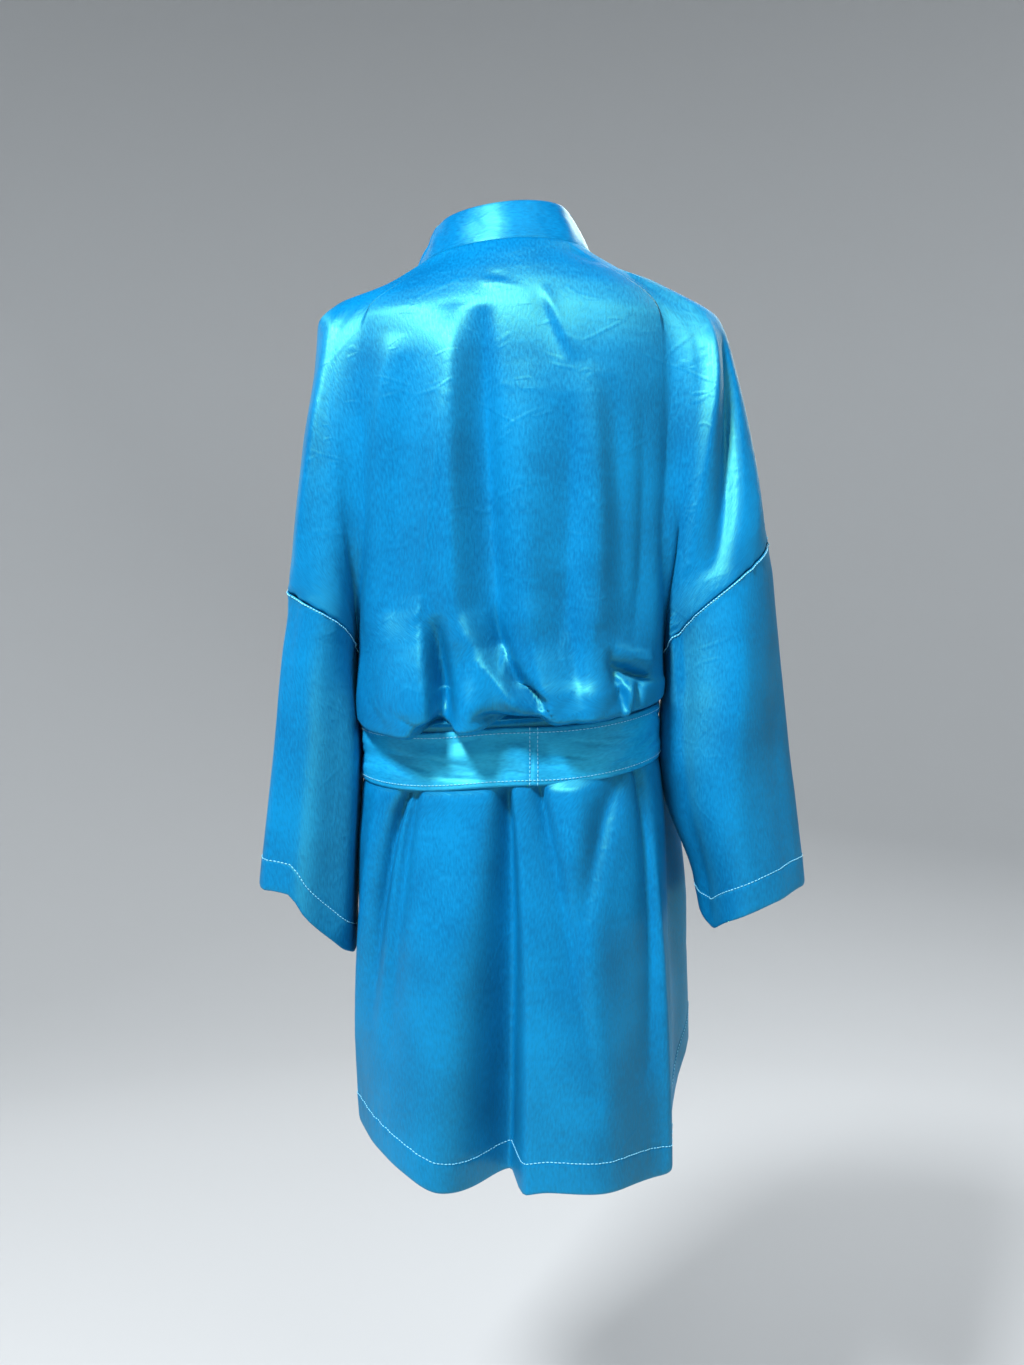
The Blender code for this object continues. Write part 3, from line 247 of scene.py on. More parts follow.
# Folds of the fronts: like those of the back, and fewer.
FRONT_FOLDS = (
    (0.106, -0.060, 0.116, -0.220, 0.112, -0.380, 0.014, 0.018, 0.000, -0.011, -0.006, 0.00, 1.6),
    (-0.106, -0.060, -0.116, -0.220, -0.112, -0.380, 0.014, 0.018, 0.000, -0.011, -0.006, 0.00, 1.6),
    (0.080, -0.110, 0.088, -0.290, 0.084, -0.440, 0.012, 0.016, 0.000, 0.010, 0.010, 0.30, 1.4),
    (-0.082, -0.100, -0.090, -0.290, -0.088, -0.450, 0.012, 0.016, 0.000, 0.010, 0.008, -0.30, 1.4),
    (0.128, -0.120, 0.130, -0.240, 0.126, -0.380, 0.009, 0.012, 0.000, 0.007, 0.004, 0.00, 1.5),
    (-0.126, -0.140, -0.130, -0.250, -0.128, -0.370, 0.009, 0.012, 0.000, 0.006, 0.004, 0.00, 1.5),
    (-0.062, -0.150, -0.066, -0.280, -0.060, -0.400, 0.010, 0.013, 0.000, -0.007, -0.005, 0.00, 1.7),
    (0.058, -0.200, 0.062, -0.300, 0.060, -0.400, 0.010, 0.012, 0.000, -0.006, -0.006, 0.00, 1.7),
    (0.060, -0.370, 0.055, -0.414, 0.048, -0.452, 0.009, 0.010, 0.000, -0.018, -0.016, 0.00, 1.8),
    (0.086, -0.350, 0.084, -0.405, 0.080, -0.455, 0.014, 0.016, 0.000, 0.010, 0.008, 0.30, 1.6),
    (0.108, -0.375, 0.104, -0.414, 0.100, -0.450, 0.007, 0.009, 0.000, -0.014, -0.010, 0.00, 1.6),
    (0.126, -0.360, 0.128, -0.410, 0.126, -0.450, 0.010, 0.011, 0.000, 0.009, 0.006, 0.00, 1.5),
    (-0.046, -0.360, -0.044, -0.410, -0.040, -0.450, 0.012, 0.014, 0.000, 0.008, 0.008, 0.00, 1.8),
    (-0.070, -0.372, -0.068, -0.414, -0.062, -0.450, 0.008, 0.010, 0.000, -0.018, -0.014, 0.00, 1.7),
    (-0.100, -0.370, -0.100, -0.412, -0.096, -0.450, 0.008, 0.010, 0.000, -0.014, -0.010, 0.00, 1.6),
    (-0.122, -0.370, -0.124, -0.415, -0.124, -0.460, 0.012, 0.012, 0.000, 0.010, 0.014, 0.00, 1.6),
    (0.056, -0.500, 0.074, -0.620, 0.088, -0.900, 0.007, 0.026, -0.012, -0.024, -0.036, -0.30, 1.7),
    (0.084, -0.500, 0.100, -0.590, 0.108, -0.760, 0.005, 0.014, -0.006, -0.010, -0.003, 0.00, 1.4),
    (0.110, -0.520, 0.120, -0.660, 0.126, -0.900, 0.014, 0.032, 0.000, 0.012, 0.018, 0.00, 1.7),
    (-0.076, -0.500, -0.092, -0.620, -0.104, -0.900, 0.007, 0.026, -0.012, -0.022, -0.030, 0.30, 1.7),
    (-0.050, -0.500, -0.058, -0.600, -0.066, -0.780, 0.005, 0.014, -0.005, -0.009, -0.003, 0.00, 1.4),
    (-0.130, -0.512, -0.138, -0.640, -0.140, -0.890, 0.014, 0.023, 0.028, 0.054, 0.062, 0.00, 1.6),
    (0.010, -0.520, 0.014, -0.660, 0.018, -0.900, 0.020, 0.040, 0.000, 0.008, 0.014, 0.00, 1.8),
)
# Folds of the arms, placed by the angle from the outer side, 90 degrees at the back and
# -90 at the front. Those in front are alike on both arms.
ARM_FRONT_FOLDS = (
    (-60, -0.080, -64, -0.300, -60, -0.620, 0.018, 0.028, 0.002, 0.009, 0.010, 0.0, 1.6),
    (-110, -0.120, -112, -0.300, -116, -0.620, 0.016, 0.024, -0.002, -0.009, -0.008, 0.0, 1.7),
    (-84, -0.100, -80, -0.180, -78, -0.300, 0.008, 0.012, 0.000, -0.007, -0.003, 0.0, 1.5),
)
ARM_FOLDS = {
    "left": (
        (75, -0.060, 74, -0.170, 68, -0.320, 0.008, 0.014, 0.001, 0.010, 0.006, -0.2, 1.4),
        (91, -0.065, 87, -0.150, 112, -0.270, 0.005, 0.008, -0.003, -0.012, -0.005, 0.0, 1.5),
        (106, -0.070, 104, -0.150, 124, -0.260, 0.005, 0.007, 0.002, 0.007, 0.003, 0.0, 1.4),
        (40, -0.100, 42, -0.200, 48, -0.310, 0.012, 0.016, 0.000, -0.005, -0.003, 0.0, 1.7),
        (64, -0.310, 67, -0.480, 71, -0.700, 0.010, 0.012, 0.003, 0.010, 0.013, -0.5, 1.2),
        (30, -0.340, 34, -0.480, 36, -0.700, 0.016, 0.024, -0.002, -0.008, -0.010, 0.0, 1.8),
        (104, -0.380, 108, -0.480, 112, -0.700, 0.012, 0.020, -0.002, -0.006, -0.008, 0.0, 1.8),
        (132, -0.400, 134, -0.500, 136, -0.640, 0.012, 0.016, 0.000, 0.004, 0.004, 0.0, 1.6),
        *ARM_FRONT_FOLDS,
    ),
    "right": (
        (68, -0.070, 87, -0.170, 121, -0.300, 0.005, 0.007, 0.002, 0.012, 0.007, 0.0, 1.6),
        (86, -0.080, 107, -0.170, 137, -0.290, 0.006, 0.009, -0.004, -0.020, -0.010, 0.0, 1.8),
        (50, -0.085, 68, -0.180, 98, -0.300, 0.007, 0.010, -0.003, -0.018, -0.006, 0.0, 1.8),
        (34, -0.110, 46, -0.220, 70, -0.290, 0.009, 0.012, 0.000, 0.004, 0.000, 0.0, 1.7),
        (12, -0.120, 18, -0.200, 26, -0.280, 0.010, 0.014, 0.000, -0.005, -0.003, 0.0, 1.6),
        (82, -0.330, 92, -0.480, 114, -0.700, 0.014, 0.022, 0.003, 0.012, 0.010, 0.3, 1.5),
        (128, -0.360, 134, -0.480, 146, -0.620, 0.014, 0.022, -0.003, -0.010, -0.006, 0.0, 1.7),
        (46, -0.350, 56, -0.480, 70, -0.640, 0.016, 0.022, 0.000, -0.006, -0.006, 0.0, 1.8),
        *ARM_FRONT_FOLDS,
    ),
}

# The two ends of the sash below the knot: how far left the middle of each hangs, how
# wide it is and how far it stands off the front.
TAILS = {
    "left": (
        ("station", "middle", "width", "off"),
        (
            (5.54, 0.0120, 0.019, 0.0125),
            (7.00, 0.0200, 0.036, 0.0085),
            (9.00, 0.0290, 0.047, 0.0070),
            (12.1, 0.0360, 0.048, 0.0070),
        ),
    ),
    "right": (
        ("station", "middle", "width", "off"),
        (
            (5.58, -0.0120, 0.019, 0.0130),
            (7.00, -0.0210, 0.036, 0.0090),
            (9.00, -0.0330, 0.047, 0.0070),
            (11.6, -0.0460, 0.048, 0.0075),
        ),
    ),
}

# The finer cloth: how thick a single layer is drawn, how far a front is tucked under its
# band, in how many straight steps a fold's crest runs, how squarely the body's folds push
# backwards and forwards, and over what depth that sets in.
SHEET_WALL = 0.0010
BAND_TUCK = 0.0040
FOLD_STEPS = 12
FOLD_SQUARENESS = 0.85
SQUARE_START = 0.02
SQUARE_RUN = 0.06
# How many columns beside a furrow are evened out, and how many times.
SOFT_COLUMNS = 4
SOFT_ROUNDS = 60
# How closely rows and columns lie. Rows above the underarm are at shares of the way down,
# those below it at stations, and those too close above a hem's first row are left out.
UPPER_STOPS = (0, 0.03, 0.14, 1.0)
UPPER_COUNTS = (4, 13, 99)
LOWER_STOPS = (0.3, 2.2, 4.7, 6.0, 8.0, 12.7)
LOWER_COUNTS = (14, 34, 6, 22, 48)
HEM_SPARE_STATION = 0.02
HEM_SPARE_SHARE = 0.01
BACK_COLUMNS = 68
FRONT_COLUMNS = 52
ARM_COLUMNS = 36
SLEEVE_ROWS = 84
BAND_COLUMNS = 16
SASH_COLUMNS = 360
SASH_ROWS = 33
TAIL_LINES = 110
TAIL_COLUMNS = 28
KNOT_COLUMNS = 96
KNOT_ROWS = 64

# An uneven wave along an edge: its pitch, how far the pitch wanders over which length, then
# the strength, pitch and start of a second wave.
HEM_RIPPLE = (0.0105, 2.6, 0.061, 0.7, 0.0167, 1.0)
SEAM_RIPPLE = (0.0165, 1.9, 0.083, 0.7, 0.0121, 0.6)
BAND_RIPPLE = (0.043, 2.0, 0.19)

# A hem: its rows' distances from the edge, how far up it is looked for, where it is
# stitched, how far the double layer stands out, the groove of the stitches, the puckers
# beside them, which die out at the edge, and the rolled edge.
HEM_ROWS = (0.060, 0.052, 0.045, 0.039, 0.0345, 0.0315, 0.0295, 0.0284, 0.0275, 0.0266, 0.0255,
            0.0235, 0.020, 0.0155, 0.011, 0.007, 0.004, 0.002, 0.0008, 0.0)
HEM_REACH = 0.09
HEM_STITCH = 0.0275
HEM_STEP = 0.0005
HEM_STEP_RUN = 0.0016
HEM_GROOVE = 0.0006
HEM_GROOVE_WIDTH = 0.0013
HEM_PUCKER = 0.00035
HEM_PUCKER_WIDTH = 0.011
HEM_CALM_EDGE = 0.006
HEM_ROLL = 0.0010
HEM_ROLL_WIDTH = 0.0014

# A sleeve's seam: the gathers on both sides, the body's edge turned in and the sleeve's lip,
# where the gathers fade out, how far the sleeve is tucked in and where it is stitched.
SEAM_PUCKER = 0.0009
SEAM_PUCKER_WIDTH = 0.008
SEAM_TURN = 0.0014
SEAM_LIP = 0.0013
SEAM_LIP_WIDTH = 0.0016
SEAM_FADE_COLUMNS = 5
LIP_FADE = 2.4
SLEEVE_TUCK = 0.0006
SLEEVE_SEAM_STITCH = 0.0012

# The neckband: how far it lies below the neckline, over what length it lays itself flat on
# the front, how much it bows and how its edges are turned.
BAND_DROP = 0.0008
BAND_LAID = 0.105
BAND_BOW = 0.0007
BAND_TURN = 0.0012
BAND_TURN_WIDTH = 0.0022

# The sash: where and how far it is gathered into the knot, how its height wanders, its
# edges' roll and the groove and swelling of its join, a little to the right of the middle.
GATHER_START = 0.060
GATHER_RUN = 0.045
GATHER_WIDTH = 0.050
GATHER_SHARE = 0.42
GATHER_DEPTH = 1.6
SASH_WANDER = ((0.0012, 2, 0.6), (0.0008, 5, 1.1))
SASH_ROLL = 0.0010
SASH_ROLL_WIDTH = 0.0018
SASH_JOIN_ANGLE = -0.19
JOIN_GROOVE = 0.0014
JOIN_GROOVE_WIDTH = 0.0016
JOIN_SWELL = 0.0005
JOIN_SWELL_WIDTH = 0.006
# Its lengthwise wrinkles: how many lie across its width, how far they drift, where they
# start and how deep they are.
SASH_WRINKLES = (
    (1.3, 0.22, 0.4, 0.0012),
    (2.3, 0.35, 2.1, 0.0007),
)
WRINKLE_CROSS_DRIFT = 0.4
WRINKLE_LEAST = 0.35
# Its sharp creases at the back: from and to how far round from the middle of the back,
# positive on the left, and where between its edges, half a width up or down; then how
# wide and how deep.
SASH_CREASES = (
    (0.093, -0.21, 0.013, -0.39, 0.0015, 0.0019),
    (0.099, -0.06, 0.060, -0.24, 0.0014, 0.0015),
    (0.083, 0.08, 0.040, -0.12, 0.0015, 0.0018),
    (0.120, -0.08, 0.092, -0.26, 0.0014, 0.0015),
    (0.062, 0.28, 0.028, 0.34, 0.0018, 0.0012),
    (0.134, 0.12, 0.090, 0.06, 0.0015, 0.0014),
    (0.036, 0.04, 0.004, -0.08, 0.0014, 0.0012),
    (0.008, -0.24, -0.018, -0.31, 0.0013, 0.0012),
    (-0.027, 0.05, -0.090, -0.16, 0.0014, 0.0018),
    (-0.022, -0.12, -0.066, -0.20, 0.0013, 0.0015),
    (-0.062, -0.20, -0.094, -0.17, 0.0013, 0.0014),
    (-0.048, 0.26, -0.121, -0.06, 0.0016, 0.0016),
    (-0.066, -0.35, -0.122, -0.33, 0.0014, 0.0014),
    (-0.086, 0.22, -0.132, 0.14, 0.0015, 0.0014),
)
# The like ones round its sides and front: how many, and from what to what each may start
# round, lie up or down, drift and be long and deep. All are equally wide.
MORE_CREASES = 34
MORE_CREASES_SEED = 11
MORE_START = (0.125, 0.385)
MORE_PLACE = (-0.42, 0.42)
MORE_DRIFT = (-0.16, 0.16)
MORE_LENGTH = (0.018, 0.060)
MORE_WIDTH = 0.0016
MORE_DEPTH = (0.0009, 0.0018)
CREASE_TAPER = 0.7
CREASE_SHARPNESS = 1.4

# The knot: its folds from and to x and height, then how wide and how deep. It is squared
# off, narrower at its top, set back a little into the sash and drawn into fine slanting
# lines, which bend with x, all on the side that faces out.
KNOT_CREASES = (
    (-0.024, 0.42, 0.012, -0.30, 0.0016, 0.0040),
    (-0.010, 0.46, 0.018, -0.22, 0.0014, 0.0030),
    (0.006, 0.46, 0.024, -0.06, 0.0013, 0.0024),
    (-0.026, 0.12, 0.002, -0.40, 0.0015, 0.0030),
    (-0.025, -0.14, -0.008, -0.44, 0.0013, 0.0022),
    (0.022, 0.34, 0.010, 0.05, 0.0012, 0.0016),
)
KNOT_SQUARENESS = 0.62
KNOT_NARROWING = 4.5
KNOT_HEIGHT = 0.045
KNOT_SINK = 0.002
KNOT_LINES = 0.0006
KNOT_LINE_PITCH = 0.0115
KNOT_LINE_SLANT = (0.8, 0.6)
KNOT_LINE_BEND = 30
KNOT_FACING = 1.6

# The hanging ends: their long folds out of the knot, the small ones all the way down and
# the curl, each as a depth, a turn across and a turn for each station, and their rolled edges.
TAIL_FOLDS = (0.0032, 17, 0.5)
TAIL_FOLDS_RUN = 1.6
TAIL_RIPPLES = (0.0008, 6, 0.9)
TAIL_CURL = (0.0012, 9, 1)
TAIL_ROLL = 0.0009
TAIL_ROLL_WIDTH = 0.0020

# Stitches: how far apart, how long and how thick, and how far they stand off the cloth.
HEM_SEWING = (0.0036, 0.0031, 0.0008)
SEAM_SEWING = (0.0031, 0.0029, 0.0010)
SASH_SEWING = (0.0036, 0.0031, 0.0007)
STITCH_LIFT = 0.00045
SASH_STITCH_LIFT = 0.0005
SASH_STITCH_ROW = 3
STITCH_WAVER = 0.06
STITCH_SEED = 5
THREAD_SPECK = 0.0009

# Colours, and the satin's real sizes in metres: the clouds of its dye, its floats of warp,
# which are drawn coarser than real ones so that they show, and its slack, uneven hang.
SATIN_DEEP = "#005E98"
SATIN_LIGHT = "#0078B6"
SASH_DEEP = "#0E88C4"
SASH_LIGHT = "#1EA2D8"
SHEEN_TINT = "#78FFB8"
THREAD_DEEP = "#6FD2F0"
THREAD_LIGHT = "#9FE6FA"
PAPER_COLOUR = "#C4C8CB"
AIR_COLOUR = "#F2F6FA"
CLOUD_SIZE = 0.070
FLOAT_WIDTH = 0.0019
FLOAT_LENGTH = 0.0060
FLOAT_DEPTH = 0.00016
SLACK_WIDTH = 0.034
SLACK_LENGTH = 0.110
SLACK_DEPTH = 0.0005
SATIN_GLOSS = (0.42, 0.54)
SATIN_SHEEN = {"Anisotropic": 0.80, "IOR": 1.65, "Specular IOR Level": 0.75}
# Lines left by folding: how far apart they lie, how drawn out along which slant, where
# clouds let them show, and a number that moves each net.
PRESS_DEPTH = 0.00010
PRESS_WIDTH = 0.0026
PRESS_NETS = (
    (0.056, 3.2, 0.40, 0.48, 0.58, 0.0),
    (0.036, 3.2, -0.35, 0.55, 0.63, 3.7),
    (0.018, 2.6, 0.10, 0.62, 0.70, 9.1),
)

# The studio and the camera: each lamp's place, its width and height, and its power.
FLOOR_Z = -1.42
FLOOR_RADIUS = 2.2
FLOOR_BEND = 2.4
FLOOR_BEND_STEPS = 12
FLOOR_SIDES = 96
WALL_TOP = 3.2
AIR_LIGHT = 0.02
ROBE_MIDDLE = Vector((0.0, 0.0, -0.41))
LIGHTS = (
    ("key", (1.08, 1.82, 1.82), (0.5, 0.5), 172.0),
    ("sheen", (-0.80, 1.75, 1.70), (1.8, 0.35), 22.0),
    ("fill", (-1.90, 1.50, 0.10), (1.4, 1.4), 2.0),
    ("low_fill", (0.4, 2.2, -0.60), (1.2, 1.2), 0.5),
    ("front_key", (-1.30, -1.90, 1.00), (1.6, 1.6), 54.0),
    ("front_fill", (1.80, -1.40, 0.10), (1.4, 1.4), 8.0),
)
CAMERA_PLACE = (0.0, 1.20, -0.410)
SENSOR = 36.0
FOCAL_PIXELS = 1222
IMAGE_HEIGHT = 1365

# How the form is worked out. Past OVAL_END of its half width an oval keeps the depth that it
# has there. CAST_REACH is further than any part lies from the line that it is cast from, and
# CAST_STEPS halvings of it find a surface to far less than a thread.
SIDES = {"left": 1.0, "right": -1.0}
OTHER = {"left": "right", "right": "left"}
NECK_Z = 0.002
QUARTER = math.pi / 2
FULL_TURN = 2 * math.pi
OVAL_END = 0.985
CAST_REACH = 0.30
CAST_STEPS = 24
# The least share of the way from the neckband's seam to the ridge at which a front's furrow
# lies, the power by which furrows close at the underarm, how far past the side line a body's
# surface may still be cut off by a furrow, and how far before and behind that line the folds
# of back and fronts change over.
FURROW_SHARE = 0.45
FURROW_CLOSING = 7
FURROW_PAST = -0.2
SIDE_BLEND = 0.03
# Over what share of its panel a fold grows from the furrow, and from the neck.
BODY_FADES = (1 / 4, 1 / 7)
ARM_FADES = (1 / 3, 1 / 6)
# How the sash tilts across the body, bends and rises in front, and over what depth.
SASH_HALF = 0.145
SASH_TILT = -0.0110
SASH_BEND = 0.0045
SASH_FRONT_RISE = 0.010
SASH_RISE_DEPTH = 0.1
# How the shoulders tilt and bend above a height, and over what height that sets in.
TILT_Z = -0.075
TILT_RUN = 0.060
SHOULDER_TILT = -0.065
SHOULDER_BEND = -0.20
# Where the right front is set in under the left one: how far past the left one's edge, over
# what run, and the two heights between which it lies closest, with the run of each.
UNDERLAP_PAST = 0.034
UNDERLAP_RUN = 0.028
UNDERLAP_LOW = (-0.53, 0.10)
UNDERLAP_HIGH = (-0.43, 0.06)
FRONT_HALF = 0.12
# Below the underarm, by station: where the sash holds the cloth, where an under layer isn't
# set in and where it is raised instead, each as a start, its run, an end and its run.
HELD = (3.2, 0.6, 5.55, 0.3)
NOT_SET_IN = (2.7, 0.5, 4.1, 0.4)
RAISED = (2.2, 0.6, 4.7, 0.6)
RAISED_SHARE = 1.2
# Where the hem's lift sets in and over how many stations, and how a fold sags in the blouse.
HEM_LIFT_START = 6.5
HEM_LIFT_RUN = 6
SAG_SHARE = 0.5
SAG_START = 1
SAG_END = 4


def read(table, name, at):
    """The named column of a table as a smooth curve over its first column, without overshoot."""
    names, rows = table
    data = np.array(sorted(rows), float)
    key = data[:, 0]
    value = data[:, names.index(name)]
    rise = np.diff(value) / np.diff(key)
    slope = np.zeros_like(value)
    slope[0], slope[-1] = rise[0], rise[-1]
    same_way = rise[:-1] * rise[1:] > 0
    slope[1:-1][same_way] = (2 * rise[:-1] * rise[1:] / (rise[:-1] + rise[1:] + 1e-12))[same_way]
    at = np.clip(np.asarray(at, float), key[0], key[-1])
    i = np.clip(np.searchsorted(key, at, side="right") - 1, 0, len(key) - 2)
    step = key[i + 1] - key[i]
    t = (at - key[i]) / step
    return (
        (2 * t**3 - 3 * t**2 + 1) * value[i]
        + (t**3 - 2 * t**2 + t) * step * slope[i]
        + (3 * t**2 - 2 * t**3) * value[i + 1]
        + (t**3 - t**2) * step * slope[i + 1]
    )


def either(table, way, name, other, at):
    """One column of a table on one side of the middle, another column on the other side."""
    return np.where(way >= 0, read(table, name, at), read(table, other, at))


def ease(t):
    """0 below 0, 1 above 1, and smooth between."""
    t = np.clip(t, 0, 1)
    return t * t * (3 - 2 * t)


def between(at, start, rise, end, fall):
    """1 inside a stretch, 0 outside it, and smooth over a run at its start and one at its end."""
    return ease((at - start) / rise) * ease((end - at) / fall)


def column(values):
    """Numbers as a column, which gives a grid its rows."""
    return np.array(values, float)[:, None]


def upright(x, y, z):
    """Points from three grids, or from what spreads to one grid."""
    return np.stack(np.broadcast_arrays(x, y, z), axis=-1)


def oval_reach(way_x, way_y, half, depth):
    """How far an oval with slightly square shoulders lies from its middle, each way."""
    total = np.abs(way_x / half) ** SQUARENESS + np.abs(way_y / depth) ** SQUARENESS
    return total ** (-1 / SQUARENESS)


def oval_depth(x, half, depth):
    """How deep the same oval is at a distance from its middle."""
    flat = np.clip(np.abs(x) / half, 0, OVAL_END)
    return depth * (1 - flat**SQUARENESS) ** (1 / SQUARENESS)


def outside_oval(x, y, half, depth, square=SQUARENESS):
    """About how far a point is outside such an oval."""
    reach = (np.abs(x / half) ** square + np.abs(y / depth) ** square) ** (1 / square)
    return (reach - 1) * np.minimum(half, depth)


def arm_centre(side, z):
    """How far out the middle of an arm is."""
    return (read(ARMS, "out_" + side, z) + read(ARMS, "in_" + side, z)) / 2


def arm_half(side, z):
    """Half of an arm's width."""
    return (read(ARMS, "out_" + side, z) - read(ARMS, "in_" + side, z)) / 2


def inside_upper(side, x, y, z):
    """Whether a point is in the joined form of body and arm, x counted outwards on one side."""
    half = either(UPPER_BODY, x, side, OTHER[side], z)
    depth = np.where(y > 0, read(UPPER_BODY, "back", z), read(UPPER_BODY, "front", z))
    body = outside_oval(x, y, half, depth, read(UPPER_BODY, "square", z))
    arm = outside_oval(x - arm_centre(side, z), y, arm_half(side, z), read(ARMS, "depth", z))
    blend = read(ARMS, "blend", z)
    share = np.clip(0.5 + 0.5 * (arm - body) / blend, 0, 1)
    return arm + (body - arm) * share - blend * share * (1 - share) < 0


def cast(side, from_x, way_x, way_y, z):
    """How far the joined form lies from a point on the side line, each way, by halving."""
    near = np.zeros(np.broadcast(from_x, way_x, z).shape)
    far = near + CAST_REACH
    for _ in range(CAST_STEPS):
        middle = (near + far) / 2
        within = inside_upper(side, from_x + middle * way_x, middle * way_y, z)
        near = np.where(within, middle, near)
        far = np.where(within, far, middle)
    return near


def ridge_x(side, z):
    """How far out the joined form reaches on the side line."""
    return cast(side, 0 * z, 1 + 0 * z, 0 * z, z)


def furrow(side, facing, z, f):
    """The bottom of the furrow between arm and body, which closes at the underarm."""
    x = read(ARMS, "furrow_" + side, z)
    if facing < 0:
        seam = read(FRONT_SEAMS, side, z)
        x = np.maximum(x, seam + FURROW_SHARE * (ridge_x(side, z) - seam))
    reach = cast(side, x, 0 * x, facing + 0 * x, z)
    closing = np.sqrt(np.clip(1 - f**FURROW_CLOSING, 0, 1))
    return x, reach * closing


def body_reach(side, angle, z, furrow_x, furrow_y, facing):
    """The body's surface, each angle from the middle, kept on its own side of the furrow."""
    way_x, way_y = np.sin(angle), np.cos(angle)
    joined = cast(side, 0 * angle, way_x, way_y, z)
    towards = way_x + FURROW_OPENING * way_y * facing
    limit = (furrow_x + FURROW_OPENING * furrow_y) / np.maximum(towards, 1e-3)
    beyond = (way_x > 0) & (way_y * facing > FURROW_PAST)
    return np.where(beyond, np.minimum(joined, limit), joined)


def arm_reach(side, turn, z, furrow_x, furrow_y):
    """The arm's surface, each turn from its outer side, kept on its own side of the furrow."""
    centre = arm_centre(side, z)
    way_x, way_y = np.cos(turn), np.sin(turn)
    joined = cast(side, centre, way_x, way_y, z)
    towards = FURROW_OPENING * np.abs(way_y) - way_x
    limit = (centre - furrow_x + FURROW_OPENING * furrow_y) / np.maximum(towards, 1e-3)
    return np.where(towards > 1e-3, np.minimum(joined, limit), joined)


def body_size(name, z):
    """A body size at a height, above or below the underarm."""
    names, rows = LOWER_BODY
    falling = [row for i, row in enumerate(rows) if all(row[1] < above[1] for above in rows[:i])]
    by_height = (("z", name), tuple((row[1], row[names.index(name)]) for row in falling))
    return np.where(z > UNDERARM_Z, read(UPPER_BODY, name, z), read(by_height, name, z))


def body_place(depth_name):
    """Turns a fold's x into a distance round the body from the middle of the back or the front."""

    def place(x, z):
        """The distance round for a fold's x at a height."""
        half = np.where(x > 0, body_size("left", z), body_size("right", z))
        y = oval_depth(x, half, body_size(depth_name, z))
        return np.arctan2(x, y) * CHART_RADIUS

    return place


def arm_place(turn, _):
    """Turns a fold's angle into a distance round the arm."""
    return np.radians(turn) * ARM_CHART_RADIUS


def through(fold, name, t):
    """A value of a fold at a share t of its length, from its top through its middle to its low end."""
    top, mid, low = (fold[name % end] for end in ("top", "mid", "low"))
    return top * 2 * (t - 0.5) * (t - 1) + mid * 4 * t * (1 - t) + low * 2 * t * (t - 0.5)


def fold_heights(folds, s, z, place):
    """How far the folds stand out, for points at a distance s round and a height z."""
    total = np.zeros(s.shape)
    t = np.linspace(0, 1, FOLD_STEPS + 1)
    for values in folds:
        fold = dict(zip(FOLD_COLUMNS, values))
        crest_z = through(fold, "z_%s", t)
        crest_s = place(through(fold, "at_%s", t), crest_z)
        nearest = np.full(s.shape, np.inf)
        side = np.zeros(s.shape)
        along = np.zeros(s.shape)
        for i in range(FOLD_STEPS):
            run_s, run_z = crest_s[i + 1] - crest_s[i], crest_z[i + 1] - crest_z[i]
            from_s, from_z = s - crest_s[i], z - crest_z[i]
            u = np.clip((from_s * run_s + from_z * run_z) / (run_s**2 + run_z**2), 0, 1)
            off_s, off_z = from_s - u * run_s, from_z - u * run_z
            gap = np.hypot(off_s, off_z)
            closer = gap < nearest
            nearest = np.where(closer, gap, nearest)
            side = np.where(closer, np.sign(off_z * run_s - off_s * run_z), side)
            along = np.where(closer, t[i] + u * (t[i + 1] - t[i]), along)
        width = fold["width_top"] + (fold["width_low"] - fold["width_top"]) * along
        width = width * (1 + fold["lean"] * side)
        total += through(fold, "depth_%s", along) * np.exp(-((nearest / width) ** fold["soft"]))
    return total


def body_folds(x, y, z):
    """How far the body's cloth stands out of its plain form."""
    back = fold_heights(BACK_FOLDS, np.arctan2(x, y) * CHART_RADIUS, z, body_place("back"))
    front = fold_heights(FRONT_FOLDS, np.arctan2(x, -y) * CHART_RADIUS, z, body_place("front"))
    at_back = ease((y + SIDE_BLEND) / (2 * SIDE_BLEND))
    return back * at_back + front * (1 - at_back)


def push_out(points, amount, centre_x=0.0, squarely=0.0):
    """Moves points level, away from an upright axis, or more squarely backwards and forwards."""
    turned = 1 - squarely * ease((np.abs(points[..., 1]) - SQUARE_START) / SQUARE_RUN)
    out = np.stack([(points[..., 0] - centre_x) * turned, points[..., 1]], axis=-1)
    out = out / np.maximum(np.linalg.norm(out, axis=-1, keepdims=True), 1e-9)
    moved = points.copy()
    moved[..., :2] += out * amount[..., None]
    return moved


def sash_tilt(x, y):
    """The sash sits higher on the wearer's right than on the left, and higher in front."""
    across = x / SASH_HALF
    in_front = ease((SASH_RISE_DEPTH - y) / SASH_RISE_DEPTH)
    return SASH_TILT * across + SASH_BEND * across**2 + SASH_FRONT_RISE * in_front


def shoulder_tilt(points):
    """The neck sits a little askew above the shoulder blades: lower on the left."""
    x, z = points[..., 0], points[..., 2]
    tilted = points.copy()
    tilted[..., 2] += ease((z - TILT_Z) / TILT_RUN) * (SHOULDER_TILT * x + SHOULDER_BEND * x**2)
    return tilted


def underlap(side, x, z):
    """How far the right front is set in where the left one lies over it."""
    if side == "left":
        return 0 * x
    over = BAND_WIDTH - read(FRONT_SEAMS, "left", z)
    below = ease((UNDERLAP_LOW[0] - z) / UNDERLAP_LOW[1])
    above = ease((z - UNDERLAP_HIGH[0]) / UNDERLAP_HIGH[1])
    drop = UNDERLAP_DROP + UNDERLAP_SLACK * (below + above)
    return drop * ease((x + over + UNDERLAP_PAST) / UNDERLAP_RUN)


